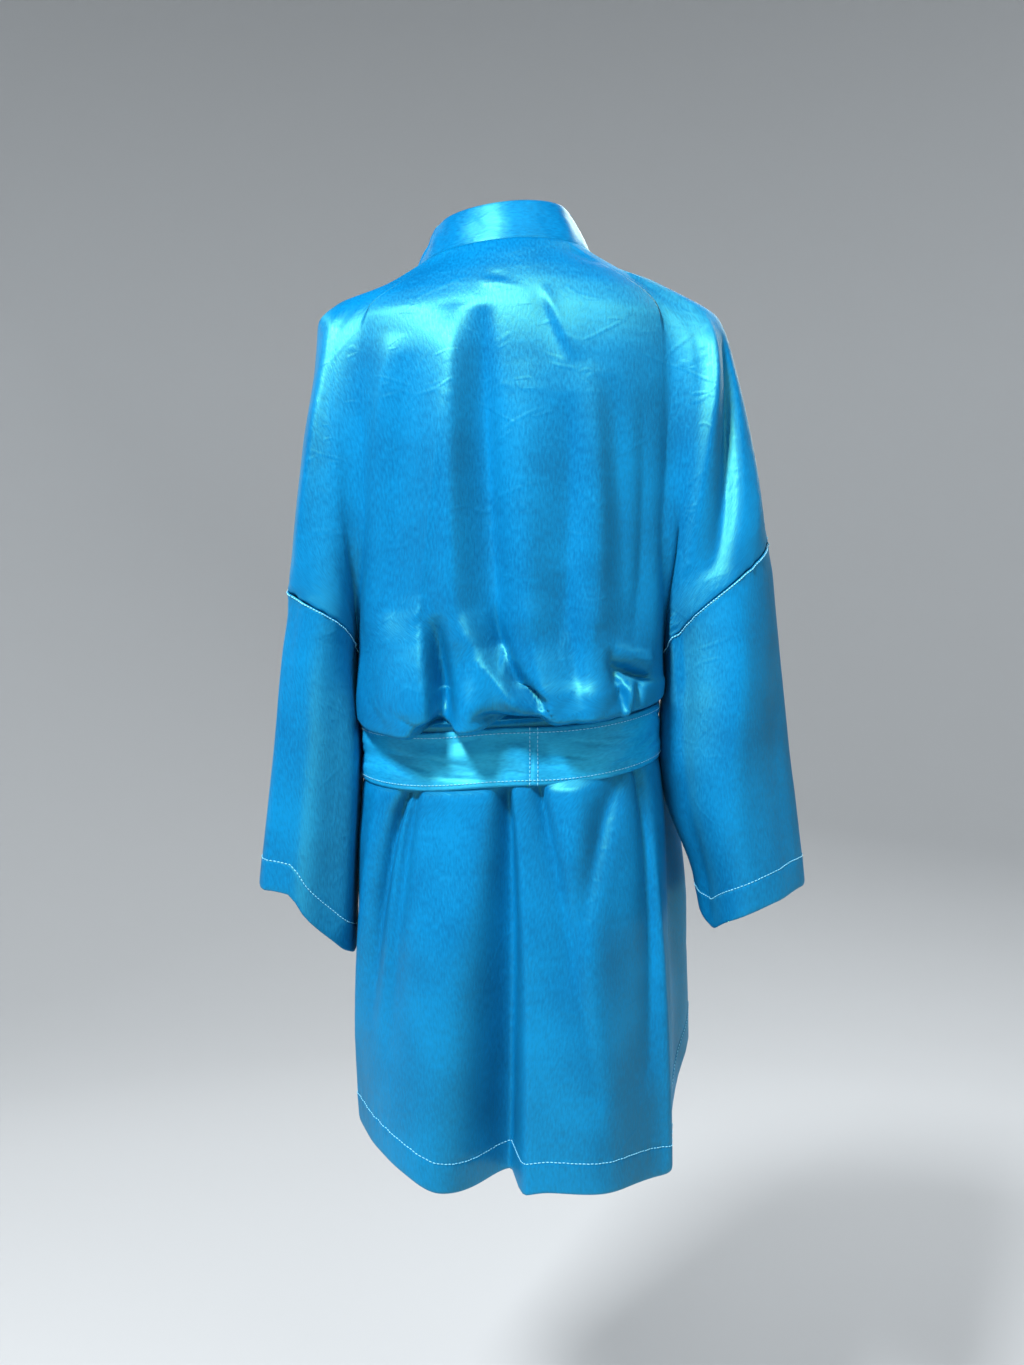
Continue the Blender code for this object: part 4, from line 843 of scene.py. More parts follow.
def edge_angle(across, half, depth):
    """The angle from the middle of the back of a place counted out from the middle of the front."""
    return math.pi - np.arctan2(across, oval_depth(across, half, depth))


def upper_height(f):
    """The height at a share f of the way from the neck to the underarm."""
    return NECK_Z + (UNDERARM_Z - NECK_Z) * f


def upper_point(side, angle, z, furrow_x, furrow_y, facing, f, p):
    """Points of the body above the underarm, with their folds, up to the furrow at p = 1."""
    reach = body_reach(side, angle, z, furrow_x, furrow_y, facing)
    at_furrow = p >= 1 - 1e-9
    x = np.where(at_furrow, furrow_x, reach * np.sin(angle)) * SIDES[side]
    y = np.where(at_furrow, facing * np.maximum(furrow_y, SEAM_GAP / 2), reach * np.cos(angle))
    z = z + 0 * x
    calm = ease((1 - p) / BODY_FADES[0]) * ease(f / BODY_FADES[1])
    amount = body_folds(x, y, z) * calm - underlap(side, x, z) * (facing < 0)
    return shoulder_tilt(push_out(upright(x, y, z), amount, squarely=FOLD_SQUARENESS))


def upper_back(side, p, f):
    """The back above the underarm: p runs from the middle to the furrow, f from the neck down."""
    z = upper_height(f)
    furrow_x, furrow_y = furrow(side, 1.0, z, f)
    angle = p * np.arctan2(furrow_x, furrow_y)
    return upper_point(side, angle, z, furrow_x, furrow_y, 1.0, f, p)


def upper_front(side, across, p, f):
    """A front above the underarm: p runs from a place counted out from the middle to the furrow."""
    z = upper_height(f)
    furrow_x, furrow_y = furrow(side, -1.0, z, f)
    half = either(UPPER_BODY, across, side, OTHER[side], z)
    start = edge_angle(across, half, read(UPPER_BODY, "front", z))
    end = math.pi - np.arctan2(furrow_x, furrow_y)
    angle = start + (end - start) * p
    return upper_point(side, angle, z, furrow_x, furrow_y, -1.0, f, p)


def seam_height(side, turn):
    """The height of the sleeve seam at a turn round the arm."""
    outer, inner = SLEEVE_SEAMS[side]
    return (outer + inner) / 2 + (outer - inner) / 2 * np.cos(turn)


def upper_arm(side, facing, q, f):
    """The panel over the arm: q runs from the furrow to the ridge, f from the neck to the seam."""
    end_z = seam_height(side, math.pi * (1 - q)) + SEAM_GAP / 2
    z = NECK_Z + (end_z - NECK_Z) * f
    furrow_z = upper_height(f)
    furrow_x, furrow_y = furrow(side, facing, furrow_z, f)
    turn = np.arctan2(furrow_y, furrow_x - arm_centre(side, furrow_z)) * (1 - q)
    reach = arm_reach(side, turn * facing, z, furrow_x, furrow_y)
    centre = arm_centre(side, z)
    at_furrow = q <= 1e-9
    x = np.where(at_furrow, furrow_x, centre + reach * np.cos(turn)) * SIDES[side]
    y = np.where(at_furrow, furrow_y, reach * np.sin(turn)) * facing
    y = facing * np.maximum(np.abs(y), SEAM_GAP / 2)
    z = np.where(at_furrow, furrow_z, z)
    calm = ease(q / ARM_FADES[0]) * ease(f / ARM_FADES[1])
    folds = fold_heights(ARM_FOLDS[side], turn * facing * ARM_CHART_RADIUS, z, arm_place)
    return shoulder_tilt(push_out(upright(x, y, z), folds * calm, centre * SIDES[side]))


def waist_reach(angle, station):
    """How far the body reaches below the underarm, by the angle from the middle of the back."""
    way_x, way_y = np.sin(angle), np.cos(angle)
    half = either(LOWER_BODY, way_x, "left", "right", station)
    depth = either(LOWER_BODY, way_y, "back", "front", station)
    return oval_reach(way_x, way_y, half, depth)


def lower_body(angle, station, drop=0.0):
    """The body below the underarm. The angle is from the middle of the back, positive on the
    left. Drop is how far an under layer is set in, or an upper one stands out if below 0."""
    reach = waist_reach(angle, station)
    x, y = reach * np.sin(angle), reach * np.cos(angle)
    z = read(LOWER_BODY, "z", station) + 0 * x
    folds = body_folds(x, y, z) * (1 - between(station, *HELD))
    wrapped = np.degrees(np.angle(np.exp(1j * angle)))
    swing = np.maximum(folds, 0) * ease(-4 * np.cos(angle))
    lift = (read(HEM, "lift", wrapped) + swing) * ease((station - HEM_LIFT_START) / HEM_LIFT_RUN)
    sag = SAG_SHARE * folds * ease(station - SAG_START) * (station < SAG_END)
    set_in = drop * (1 - between(station, *NOT_SET_IN))
    raised = drop * RAISED_SHARE * between(station, *RAISED)
    height = z + read(LOWER_BODY, "sash", station) * sash_tilt(x, y) + lift - sag + raised
    return push_out(upright(x, y, height), folds - set_in, squarely=FOLD_SQUARENESS)


def lower_front(side, across, p, station):
    """A front below the underarm: p runs from a place counted out from the middle to the side."""
    z = read(LOWER_BODY, "z", station)
    half = either(LOWER_BODY, across, side, OTHER[side], station)
    start = edge_angle(across, half, read(LOWER_BODY, "front", station))
    end = QUARTER + SEAM_GAP / 2 / read(LOWER_BODY, side, station)
    angle = (start + (end - start) * p) * SIDES[side]
    return lower_body(angle, station, underlap(side, np.sin(angle) * FRONT_HALF, z + 0 * angle))


def upper_back_grid(f):
    """The back above the underarm and over both upper arms, from right to left."""
    p = np.linspace(0, 1, BACK_COLUMNS + 1)[None, :]
    q = np.linspace(0, 1, ARM_COLUMNS + 1)[None, :]
    halves = {}
    for side in SIDES:
        arm = upper_arm(side, 1.0, q, f)[:, 1:]
        halves[side] = np.concatenate([upper_back(side, p, f), arm], axis=1)
    return np.concatenate([halves["right"][:, ::-1], halves["left"][:, 1:]], axis=1)


def back_neckline():
    """The top edge of the back, from the right side neck point to the left one."""
    return upper_back_grid(column((0,)))[0]


def neck_point(side):
    """Where the shoulder ridge meets the neckband."""
    return back_neckline()[-1 if side == "left" else 0]


def ripple(along, pitch, wander, wander_pitch, second=0.0, second_pitch=1.0, start=0.0):
    """An uneven wave along an edge."""
    first = np.sin(FULL_TURN * along / pitch + wander * np.sin(FULL_TURN * along / wander_pitch))
    return first + second * np.sin(FULL_TURN * along / second_pitch + start)


def hem_profile(gap, along):
    """How far a hem stands out at a distance from its edge: a double layer with its stitched
    groove, its puckers and its rolled edge."""
    doubled = HEM_STEP * (1 - ease((gap - HEM_STITCH) / HEM_STEP_RUN))
    groove = -HEM_GROOVE * np.exp(-(((gap - HEM_STITCH) / HEM_GROOVE_WIDTH) ** 2))
    rolled = -HEM_ROLL * np.exp(-gap / HEM_ROLL_WIDTH)
    beside = np.exp(-np.abs(gap - HEM_STITCH) / HEM_PUCKER_WIDTH)
    puckers = HEM_PUCKER * ripple(along, *HEM_RIPPLE) * beside
    return doubled + groove + rolled + puckers * ease(gap / HEM_CALM_EDGE)


def seam_pucker(gap, along, turned_in, lip):
    """The small gathers beside a sleeve's seam, with a turned in edge or a rounded lip."""
    gathers = SEAM_PUCKER * ripple(along, *SEAM_RIPPLE) * np.exp(-gap / SEAM_PUCKER_WIDTH)
    rounded = lip * np.exp(-(((gap - SEAM_LIP_WIDTH) / SEAM_LIP_WIDTH) ** 2))
    return gathers + rounded - turned_in * np.exp(-gap / SEAM_LIP_WIDTH)


def soften_down(points, middle):
    """Evens out the columns on both sides of a furrow from row to row, their ends kept."""
    near = slice(middle - SOFT_COLUMNS, middle + SOFT_COLUMNS + 1)
    smooth = points[:, near].copy()
    for _ in range(SOFT_ROUNDS):
        smooth[1:-1] = (smooth[:-2] + 2 * smooth[1:-1] + smooth[2:]) / 4
    points[:, near] = smooth


def hump(t):
    """Nearly 0 at both ends of a stretch, and 1 in its middle."""
    return np.sin(math.pi * np.clip(t, 0.02, 0.98))


def run_lengths(points, axis):
    """How far each point is along its row or column, in metres."""
    steps = np.linalg.norm(np.diff(points, axis=axis), axis=-1)
    start = np.zeros_like(np.take(steps, [0], axis=axis))
    return np.concatenate([start, np.cumsum(steps, axis=axis)], axis=axis)


def even_lengths(points, axis):
    """The same lengths, equal on all rows or columns, so that the weave's threads run level."""
    return run_lengths(points, axis).mean(axis=1 - axis, keepdims=True) + np.zeros(points.shape[:2])


def edge_gap(points):
    """How far each point is from the lower edge, down its own column."""
    down = run_lengths(points, 0)
    return down[-1:] - down


def grid_normals(points, closed=False):
    """Outward normals of a grid, away from the upright axis that it goes round."""
    if closed:
        sideways = np.roll(points, -1, axis=1) - np.roll(points, 1, axis=1)
    else:
        sideways = np.gradient(points, axis=1)
    normals = np.cross(sideways, np.gradient(points, axis=0))
    normals = normals / np.maximum(np.linalg.norm(normals, axis=-1, keepdims=True), 1e-9)
    axis = points.mean(axis=(0, 1)) * (1, 1, 0) if closed else np.zeros(3)
    outwards = ((points - axis)[..., :2] * normals[..., :2]).sum(axis=-1).mean()
    return normals * np.sign(outwards)


def lift(points, amount, closed=False):
    """Moves the points of a grid out along its normals."""
    return points + grid_normals(points, closed) * amount[..., None]


def grid_faces(rows, columns, base=0, closed=False):
    """Faces of a grid with rows downwards and columns towards the left, seen from outside."""
    faces = []
    for r in range(rows - 1):
        for c in range(columns if closed else columns - 1):
            following = (c + 1) % columns
            here, under = base + r * columns, base + (r + 1) * columns
            faces.append((here + c, here + following, under + following, under + c))
    return faces


def new_object(name, data):
    """Puts a mesh, curve, lamp or camera in the scene."""
    thing = bpy.data.objects.new(name, data)
    bpy.context.scene.collection.objects.link(thing)
    return thing


def sheet(name, points, across, down, faces, wall):
    """A piece of cloth with its lengths in metres as its UV map, and its wall laid inwards."""
    mesh = bmesh.new()
    corners = [mesh.verts.new(p) for p in points.reshape(-1, 3).tolist()]
    for face in faces:
        mesh.faces.new([corners[i] for i in face])
    lengths = np.stack([across.ravel(), down.ravel()], axis=-1).tolist()
    layer = mesh.loops.layers.uv.new("cloth")
    mesh.verts.index_update()
    for face in mesh.faces:
        for loop in face.loops:
            loop[layer].uv = lengths[loop.vert.index]
    bmesh.ops.remove_doubles(mesh, verts=mesh.verts, dist=2e-6)
    data = bpy.data.meshes.new(name)
    mesh.to_mesh(data)
    mesh.free()
    data.shade_smooth()
    piece = new_object(name, data)
    if wall:
        thicken = piece.modifiers.new("wall", "SOLIDIFY")
        thicken.thickness = wall
        thicken.offset = -1
    return piece


def grid_sheet(name, points, across, down, wall, closed=False):
    """A piece of cloth made of one grid."""
    return sheet(name, points, across, down, grid_faces(*points.shape[:2], closed=closed), wall)


def panel_sheet(name, upper, lower, skipped):
    """A sheet whose upper grid carries a narrower lower one under some of its columns."""
    rows, columns = upper.shape[:2]
    low_rows, low_columns = lower.shape[:2]
    base = rows * columns
    joint = (rows - 1) * columns + skipped
    faces = grid_faces(rows, columns) + grid_faces(low_rows, low_columns, base)
    faces += [(joint + c, joint + c + 1, base + c + 1, base + c) for c in range(low_columns - 1)]
    upper_across, lower_across = run_lengths(upper, 1), run_lengths(lower, 1)
    middle = low_columns // 2
    upper_across -= upper_across[:, [skipped + middle]]
    lower_across -= lower_across[:, [middle]]
    upper_down = even_lengths(upper, 0)
    gap = np.linalg.norm(lower[0] - upper[-1, skipped:skipped + low_columns], axis=-1).mean()
    lower_down = even_lengths(lower, 0) + upper_down[-1, 0] + gap
    points = np.concatenate([upper.reshape(-1, 3), lower.reshape(-1, 3)])
    across = np.concatenate([upper_across.ravel(), lower_across.ravel()])
    down = np.concatenate([upper_down.ravel(), lower_down.ravel()])
    return sheet(name, points, across, down, faces, SHEET_WALL)


def finish_piece(piece, node, material):
    """Gives a piece its material and hangs it on the robe's one body, in place of its node's own part,
    which is hidden.
    """
    piece.data.materials.append(material)
    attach(piece, "root")
    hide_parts(node)


def spread(stops, count):
    """Evenly divides the stretches between stops, count steps in each."""
    pieces = [np.linspace(a, b, n, endpoint=False) for a, b, n in zip(stops, stops[1:], count)]
    return np.append(np.concatenate(pieces), stops[-1])


def upper_lines():
    """Rows above the underarm, closest at the neck."""
    return spread(UPPER_STOPS, UPPER_COUNTS)


def lower_stations():
    """Rows below the underarm, with a hem's rows at the end."""
    body = spread(LOWER_STOPS, LOWER_COUNTS)
    above, last = LOWER_BODY[1][-2:]
    per_metre = (last[0] - above[0]) / (above[1] - last[1])
    hem = last[0] - np.array(HEM_ROWS) * per_metre
    return np.concatenate([body[body < hem[0] - HEM_SPARE_STATION], hem])


def hemmed(points, closed=False):
    """Hems the lower edge of a grid."""
    gap = edge_gap(points)
    along = run_lengths(points[-1:], 1)
    return lift(points, hem_profile(gap, along) * (gap < HEM_REACH), closed)


def gathered_arm(points, first, last):
    """Puckers some columns over an arm towards the sleeve seam."""
    along = run_lengths(points[-1:], 1)
    place = np.arange(points.shape[1])
    weight = between(place, first - 1, SEAM_FADE_COLUMNS, last, SEAM_FADE_COLUMNS)
    return lift(points, seam_pucker(edge_gap(points), along, SEAM_TURN, 0.0) * weight[None])


def back_cloth():
    """The back, out over both upper arms and down to its hem."""
    upper = upper_back_grid(column(upper_lines()))
    width = upper.shape[1]
    angle = np.linspace(-1, 1, 2 * BACK_COLUMNS + 1)[None, :] * QUARTER
    for furrow_column in (ARM_COLUMNS, width - ARM_COLUMNS - 1):
        soften_down(upper, furrow_column)
    for first, last in ((0, ARM_COLUMNS), (width - ARM_COLUMNS, width)):
        upper = gathered_arm(upper, first, last)
    lower = hemmed(lower_body(angle, column(lower_stations())))
    piece = panel_sheet("back_cloth", upper, lower, ARM_COLUMNS)
    finish_piece(piece, "back", satin("satin_back"))
    return piece, lower


def front_cloth(side):
    """A front, from under its band to the sleeve seam and the side seam."""
    p = np.linspace(0, 1, FRONT_COLUMNS + 1)[None, :]
    q = np.linspace(0, 1, ARM_COLUMNS + 1)[None, :]
    f = column(upper_lines()[1:])
    seam = read(FRONT_SEAMS, side, upper_height(f)) - BAND_TUCK
    arm = upper_arm(side, -1.0, q, f)[:, 1:]
    upper = np.concatenate([upper_front(side, seam, p, f), arm], axis=1)
    upper = np.concatenate([np.broadcast_to(neck_point(side), upper[:1].shape), upper])
    soften_down(upper, FRONT_COLUMNS)
    upper = gathered_arm(upper, FRONT_COLUMNS + 1, upper.shape[1])
    station = column(lower_stations())
    seam = read(FRONT_SEAMS, side, read(LOWER_BODY, "z", station)) - BAND_TUCK
    lower = hemmed(lower_front(side, seam, p, station))
    name = "front_%s_cloth" % side
    if side == "left":
        piece = panel_sheet(name, upper[:, ::-1], lower[:, ::-1], ARM_COLUMNS)
    else:
        piece = panel_sheet(name, upper, lower, 0)
    finish_piece(piece, "front_" + side, satin("satin_front_" + side))
    return piece, lower


def seam_loop(side):
    """The lower edge of back and front round one arm, from the ridge over the back."""
    q = np.linspace(1, 0, ARM_COLUMNS + 1)[None, :]
    back = upper_arm(side, 1.0, q, column((1,)))[0]
    front = upper_arm(side, -1.0, q, column((1,)))[0]
    return np.concatenate([back[:-1], front[:0:-1]])


def sleeve_cloth(side):
    """A sleeve, from the seam above it to its cuff's hem."""
    top_row = seam_loop(side)
    top_z = top_row[:, 2]
    columns = len(top_row)
    turn = (np.arange(columns) * FULL_TURN / columns)[None, :]
    cuff_z = read(CUFFS, side, np.degrees(turn))
    hem = 1 - np.array(HEM_ROWS) / float(np.mean(top_z - cuff_z[0]))
    body = np.linspace(0, 1, SLEEVE_ROWS + 1)
    v = column(np.concatenate([body[(body > 0) & (body < hem[0] - HEM_SPARE_SHARE)], hem]))
    z = top_z + (cuff_z - top_z) * v
    centre = arm_centre(side, z)
    joined = arm_reach(side, turn + 0 * z, z, read(ARMS, "in_" + side, z) + SLEEVE_TUCK, 0.0)
    plain = oval_reach(np.cos(turn), np.sin(turn), arm_half(side, z), read(ARMS, "depth", z))
    reach = plain + (joined - plain) * (1 - ease(v * 3))
    x, y = (centre + reach * np.cos(turn)) * SIDES[side], reach * np.sin(turn)
    around = np.angle(np.exp(1j * turn)) + 0 * z
    folds = fold_heights(ARM_FOLDS[side], around * ARM_CHART_RADIUS, z, arm_place)
    calm = ease((math.pi - np.abs(around)) * 1.5)
    points = push_out(upright(x, y, z), folds * calm, centre * SIDES[side])
    points = np.concatenate([top_row[None], points])
    if side == "left":
        points = points[:, ::-1]
    down = run_lengths(points, 0)
    points = hemmed(points, closed=True)
    along = run_lengths(points[:1], 1)
    calm = ease(np.abs(np.sin(turn)) * LIP_FADE)
    points = lift(points, seam_pucker(down, along, 0.0, SEAM_LIP) * calm, closed=True)
    piece = grid_sheet("sleeve_%s_cloth" % side, points, run_lengths(points, 1),
                       even_lengths(points, 0), SHEET_WALL, closed=True)
    finish_piece(piece, "sleeve_" + side, satin("satin_sleeve_" + side))
    return piece, points


def neckband_cloth():
    """The band, a double layer that stands behind the neck and runs down both front edges."""
    seam_row = back_neckline() - np.array((0, 0, BAND_DROP))
    t = column(np.linspace(0, 1, BAND_COLUMNS + 1))
    unit_x = (seam_row[:, 0] - STAND["seam_middle"]) / STAND["seam_half"]
    unit_y = seam_row[:, 1] / STAND["seam_depth"]
    top_row = upright(
        STAND["top_middle"] + STAND["top_half"] * unit_x,
        STAND["top_depth"] * unit_y,
        seam_row[:, 2] + STAND["height"] - STAND["rise_to_right"] * unit_x,
    )
    stand = seam_row[None] + (top_row - seam_row)[None] * t[:, None]
    f = upper_lines()[None, 1:]
    station = lower_stations()[None, :]
    fronts = {}
    for side in SIDES:
        end = -1 if side == "left" else 0
        across = read(FRONT_SEAMS, side, upper_height(f)) - BAND_WIDTH * t
        flat = upper_front(side, across, 0.0, f + 0 * t)
        length = np.linalg.norm(flat[0] - seam_row[end], axis=-1)
        laid = ease(length / BAND_LAID)[None, :, None]
        standing = flat[:1] + (top_row[end] - seam_row[end]) * t[..., None]
        across = read(FRONT_SEAMS, side, read(LOWER_BODY, "z", station)) - BAND_WIDTH * t
        lower = lower_front(side, across, 0.0, station + 0 * t)
        fronts[side] = np.concatenate([standing * (1 - laid) + flat * laid, lower], axis=1)
    points = np.concatenate([fronts["right"][:, ::-1], stand, fronts["left"]], axis=1)[::-1]
    down = run_lengths(points, 0)
    width = down[-1:]
    bow = BAND_BOW * np.sin(math.pi * down / width) * ripple(run_lengths(points, 1), *BAND_RIPPLE)
    turned = np.exp(-down / BAND_TURN_WIDTH) + np.exp(-(width - down) / BAND_TURN_WIDTH)
    points = lift(points, bow - BAND_TURN * turned)
    piece = grid_sheet("neckband_cloth", points, down, even_lengths(points, 1), BAND_WALL)
    finish_piece(piece, "neckband", satin("satin_neckband"))
    return piece


def sash_creases():
    """The creases of the sash: those seen at the back, and like ones round its sides and front."""
    rows = list(SASH_CREASES)
    chance = np.random.default_rng(MORE_CREASES_SEED)
    for i in range(MORE_CREASES):
        side = 1 if i % 2 else -1
        start = side * chance.uniform(*MORE_START)
        place = chance.uniform(*MORE_PLACE)
        drift = chance.uniform(*MORE_DRIFT)
        end = start + chance.uniform(*MORE_LENGTH)
        rows.append((start, place, end, place + drift, MORE_WIDTH, chance.uniform(*MORE_DEPTH)))
    return rows


def crease_depth(s, t, rows, width):
    """How deep straight creases with tapering ends sink, over a strip of a given width."""
    total = np.zeros(np.broadcast(s, t).shape)
    for s_start, t_start, s_end, t_end, crease_width, depth in rows:
        run_s, run_t = s_end - s_start, (t_end - t_start) * width
        off_s, off_t = s - s_start, (t - t_start) * width
        along = np.clip((off_s * run_s + off_t * run_t) / (run_s**2 + run_t**2), 0, 1)
        gap = np.hypot(off_s - along * run_s, off_t - along * run_t)
        sharp = np.exp(-((gap / crease_width) ** CREASE_SHARPNESS))
        total -= depth * hump(along) ** CREASE_TAPER * sharp
    return total


def sash_cloth():
    """The sash round the waist, with lengthwise wrinkles, creases and a join at the back."""
    angle = np.linspace(-math.pi, math.pi, SASH_COLUMNS, endpoint=False)[None, :]
    reach = waist_reach(angle, SASH_STATION) + SASH_CLEARANCE + SASH_WALL
    t = column(np.linspace(0, 1, SASH_ROWS))
    x, y = reach * np.sin(angle) + 0 * t, reach * np.cos(angle) + 0 * t
    gathered = ease((-y - GATHER_START) / GATHER_RUN) * np.exp(-((x / GATHER_WIDTH) ** 2))
    width = SASH_WIDTH * (1 - GATHER_SHARE * gathered)
    wander = sum(size * np.sin(count * angle + start) for size, count, start in SASH_WANDER)
    points = upright(x, y, SASH_Z + sash_tilt(x, y) + (0.5 - t) * width + wander)
    along = run_lengths(points, 1)
    relief = np.zeros(points.shape[:2])
    for count, turns, start, depth in SASH_WRINKLES:
        drift = turns * np.sin(angle + start) + WRINKLE_CROSS_DRIFT * np.sin(3 * angle + 2 * start)
        shown = ease(0.5 + 0.8 * np.sin(2 * angle + 3 * start))
        strength = WRINKLE_LEAST + (1 - WRINKLE_LEAST) * shown
        relief = relief + depth * np.cos(FULL_TURN * (count * t + drift)) * strength
    relief = relief * (1 + GATHER_DEPTH * gathered) * hump(t) ** 0.5
    middle = along[:, [SASH_COLUMNS // 2]]
    relief = relief + crease_depth(along - middle, 0.5 - t, sash_creases(), SASH_WIDTH)
    relief = relief - SASH_ROLL * np.exp(-np.minimum(t, 1 - t) * width / SASH_ROLL_WIDTH)
    join = along - np.interp(SASH_JOIN_ANGLE, angle[0], along[0])
    relief = relief - JOIN_GROOVE * np.exp(-((join / JOIN_GROOVE_WIDTH) ** 2))
    relief = relief + JOIN_SWELL * np.exp(-np.abs(join) / JOIN_SWELL_WIDTH)
    points = lift(points, relief, closed=True)
    piece = grid_sheet("sash_cloth", points, t * SASH_WIDTH + 0 * along, even_lengths(points, 1),
                       SASH_WALL, closed=True)
    finish_piece(piece, "sash", satin("satin_sash", SASH_DEEP, SASH_LIGHT))
    return piece, points


def knot_cloth():
    """The tied knot: a full loop of cloth over the sash, with folds to its lower corner."""
    turn = np.linspace(0, FULL_TURN, KNOT_COLUMNS + 1)[None, :]
    rise = column(np.linspace(1, -1, KNOT_ROWS + 1)) * QUARTER
    ball = (np.cos(rise) * np.sin(turn), -np.cos(rise) * np.cos(turn), np.sin(rise) + 0 * turn)
    squared = (np.sign(v) * np.abs(v) ** KNOT_SQUARENESS for v in ball)
    x, y, z = (v * half for v, half in zip(squared, KNOT_HALF))
    x = x * (1 - KNOT_NARROWING * z)
    facing = ease(-y / KNOT_HALF[1] * KNOT_FACING)
    relief = crease_depth(x, z / KNOT_HEIGHT, KNOT_CREASES, KNOT_HEIGHT) * facing
    slanting = KNOT_LINE_SLANT[0] * x + KNOT_LINE_SLANT[1] * z
    drawn = np.sin(FULL_TURN * slanting / KNOT_LINE_PITCH + KNOT_LINE_BEND * x)
    points = lift(upright(x, y, z), relief + KNOT_LINES * drawn * facing)
    front = float(read(LOWER_BODY, "front", SASH_STATION)) + SASH_CLEARANCE + SASH_WALL
    points = points + np.array((0, -(front + KNOT_HALF[1] - KNOT_SINK), KNOT_Z))
    across = run_lengths(points[KNOT_ROWS // 2:KNOT_ROWS // 2 + 1], 1) + 0 * rise
    piece = grid_sheet("sash_knot_cloth", points, across, run_lengths(points, 0), 0)
    finish_piece(piece, "sash_knot", satin("satin_knot", SASH_DEEP, SASH_LIGHT))
    return piece


def tail_cloth(side):
    """One hanging end of the sash, with lengthwise folds running out of the knot."""
    table = TAILS[side]
    first, last = (table[1][end][0] for end in (0, -1))
    station = column(np.linspace(first, last, TAIL_LINES + 1))
    across = np.linspace(0.5, -0.5, TAIL_COLUMNS + 1)[None, :]
    place = read(table, "middle", station) + across * read(table, "width", station)
    half = either(LOWER_BODY, place, "left", "right", station)
    angle = edge_angle(place, half, read(LOWER_BODY, "front", station))
    off = read(table, "off", station)
    for wave, (depth, turn_across, turn_down) in ((np.cos, TAIL_CURL), (np.sin, TAIL_RIPPLES)):
        off = off + depth * wave(across * turn_across + station * turn_down)
    depth, turn_across, turn_down = TAIL_FOLDS
    drawn = np.exp(-(station - first) / TAIL_FOLDS_RUN)
    off = off + depth * drawn * np.cos(across * turn_across + station * turn_down)
    points = lower_body(angle, station, -off)
    down, width = run_lengths(points, 0), run_lengths(points, 1)
    edge = np.minimum(np.minimum(width, width[:, -1:] - width), down[-1:] - down)
    points = lift(points, -TAIL_ROLL * np.exp(-edge / TAIL_ROLL_WIDTH))
    piece = grid_sheet("sash_tail_%s_cloth" % side, points, width, down, SASH_WALL)
    finish_piece(piece, "sash_tail_" + side, satin("satin_tail_" + side, SASH_DEEP, SASH_LIGHT))
    return piece


def from_hex(code):
    """A linear colour with alpha from an sRGB hex value."""
    parts = [int(code[i:i + 2], 16) / 255 for i in (1, 3, 5)]
    linear = [v / 12.92 if v <= 0.04045 else ((v + 0.055) / 1.055) ** 2.4 for v in parts]
    return (*linear, 1.0)


def add(tree, kind, inputs=None, **settings):
    """Adds a node. An input is a value, or the socket that feeds it."""
    node = tree.nodes.new(kind)
    for key, value in settings.items():
        setattr(node, key, value)
    for key, value in (inputs or {}).items():
        if isinstance(value, bpy.types.NodeSocket):
            tree.links.new(value, node.inputs[key])
        else:
            node.inputs[key].default_value = value
    return node


def new_material(name):
    """A material with its node tree and its shader."""
    material = bpy.data.materials.new(name)
    material.use_nodes = True
    tree = material.node_tree
    return material, tree, tree.nodes["Principled BSDF"]


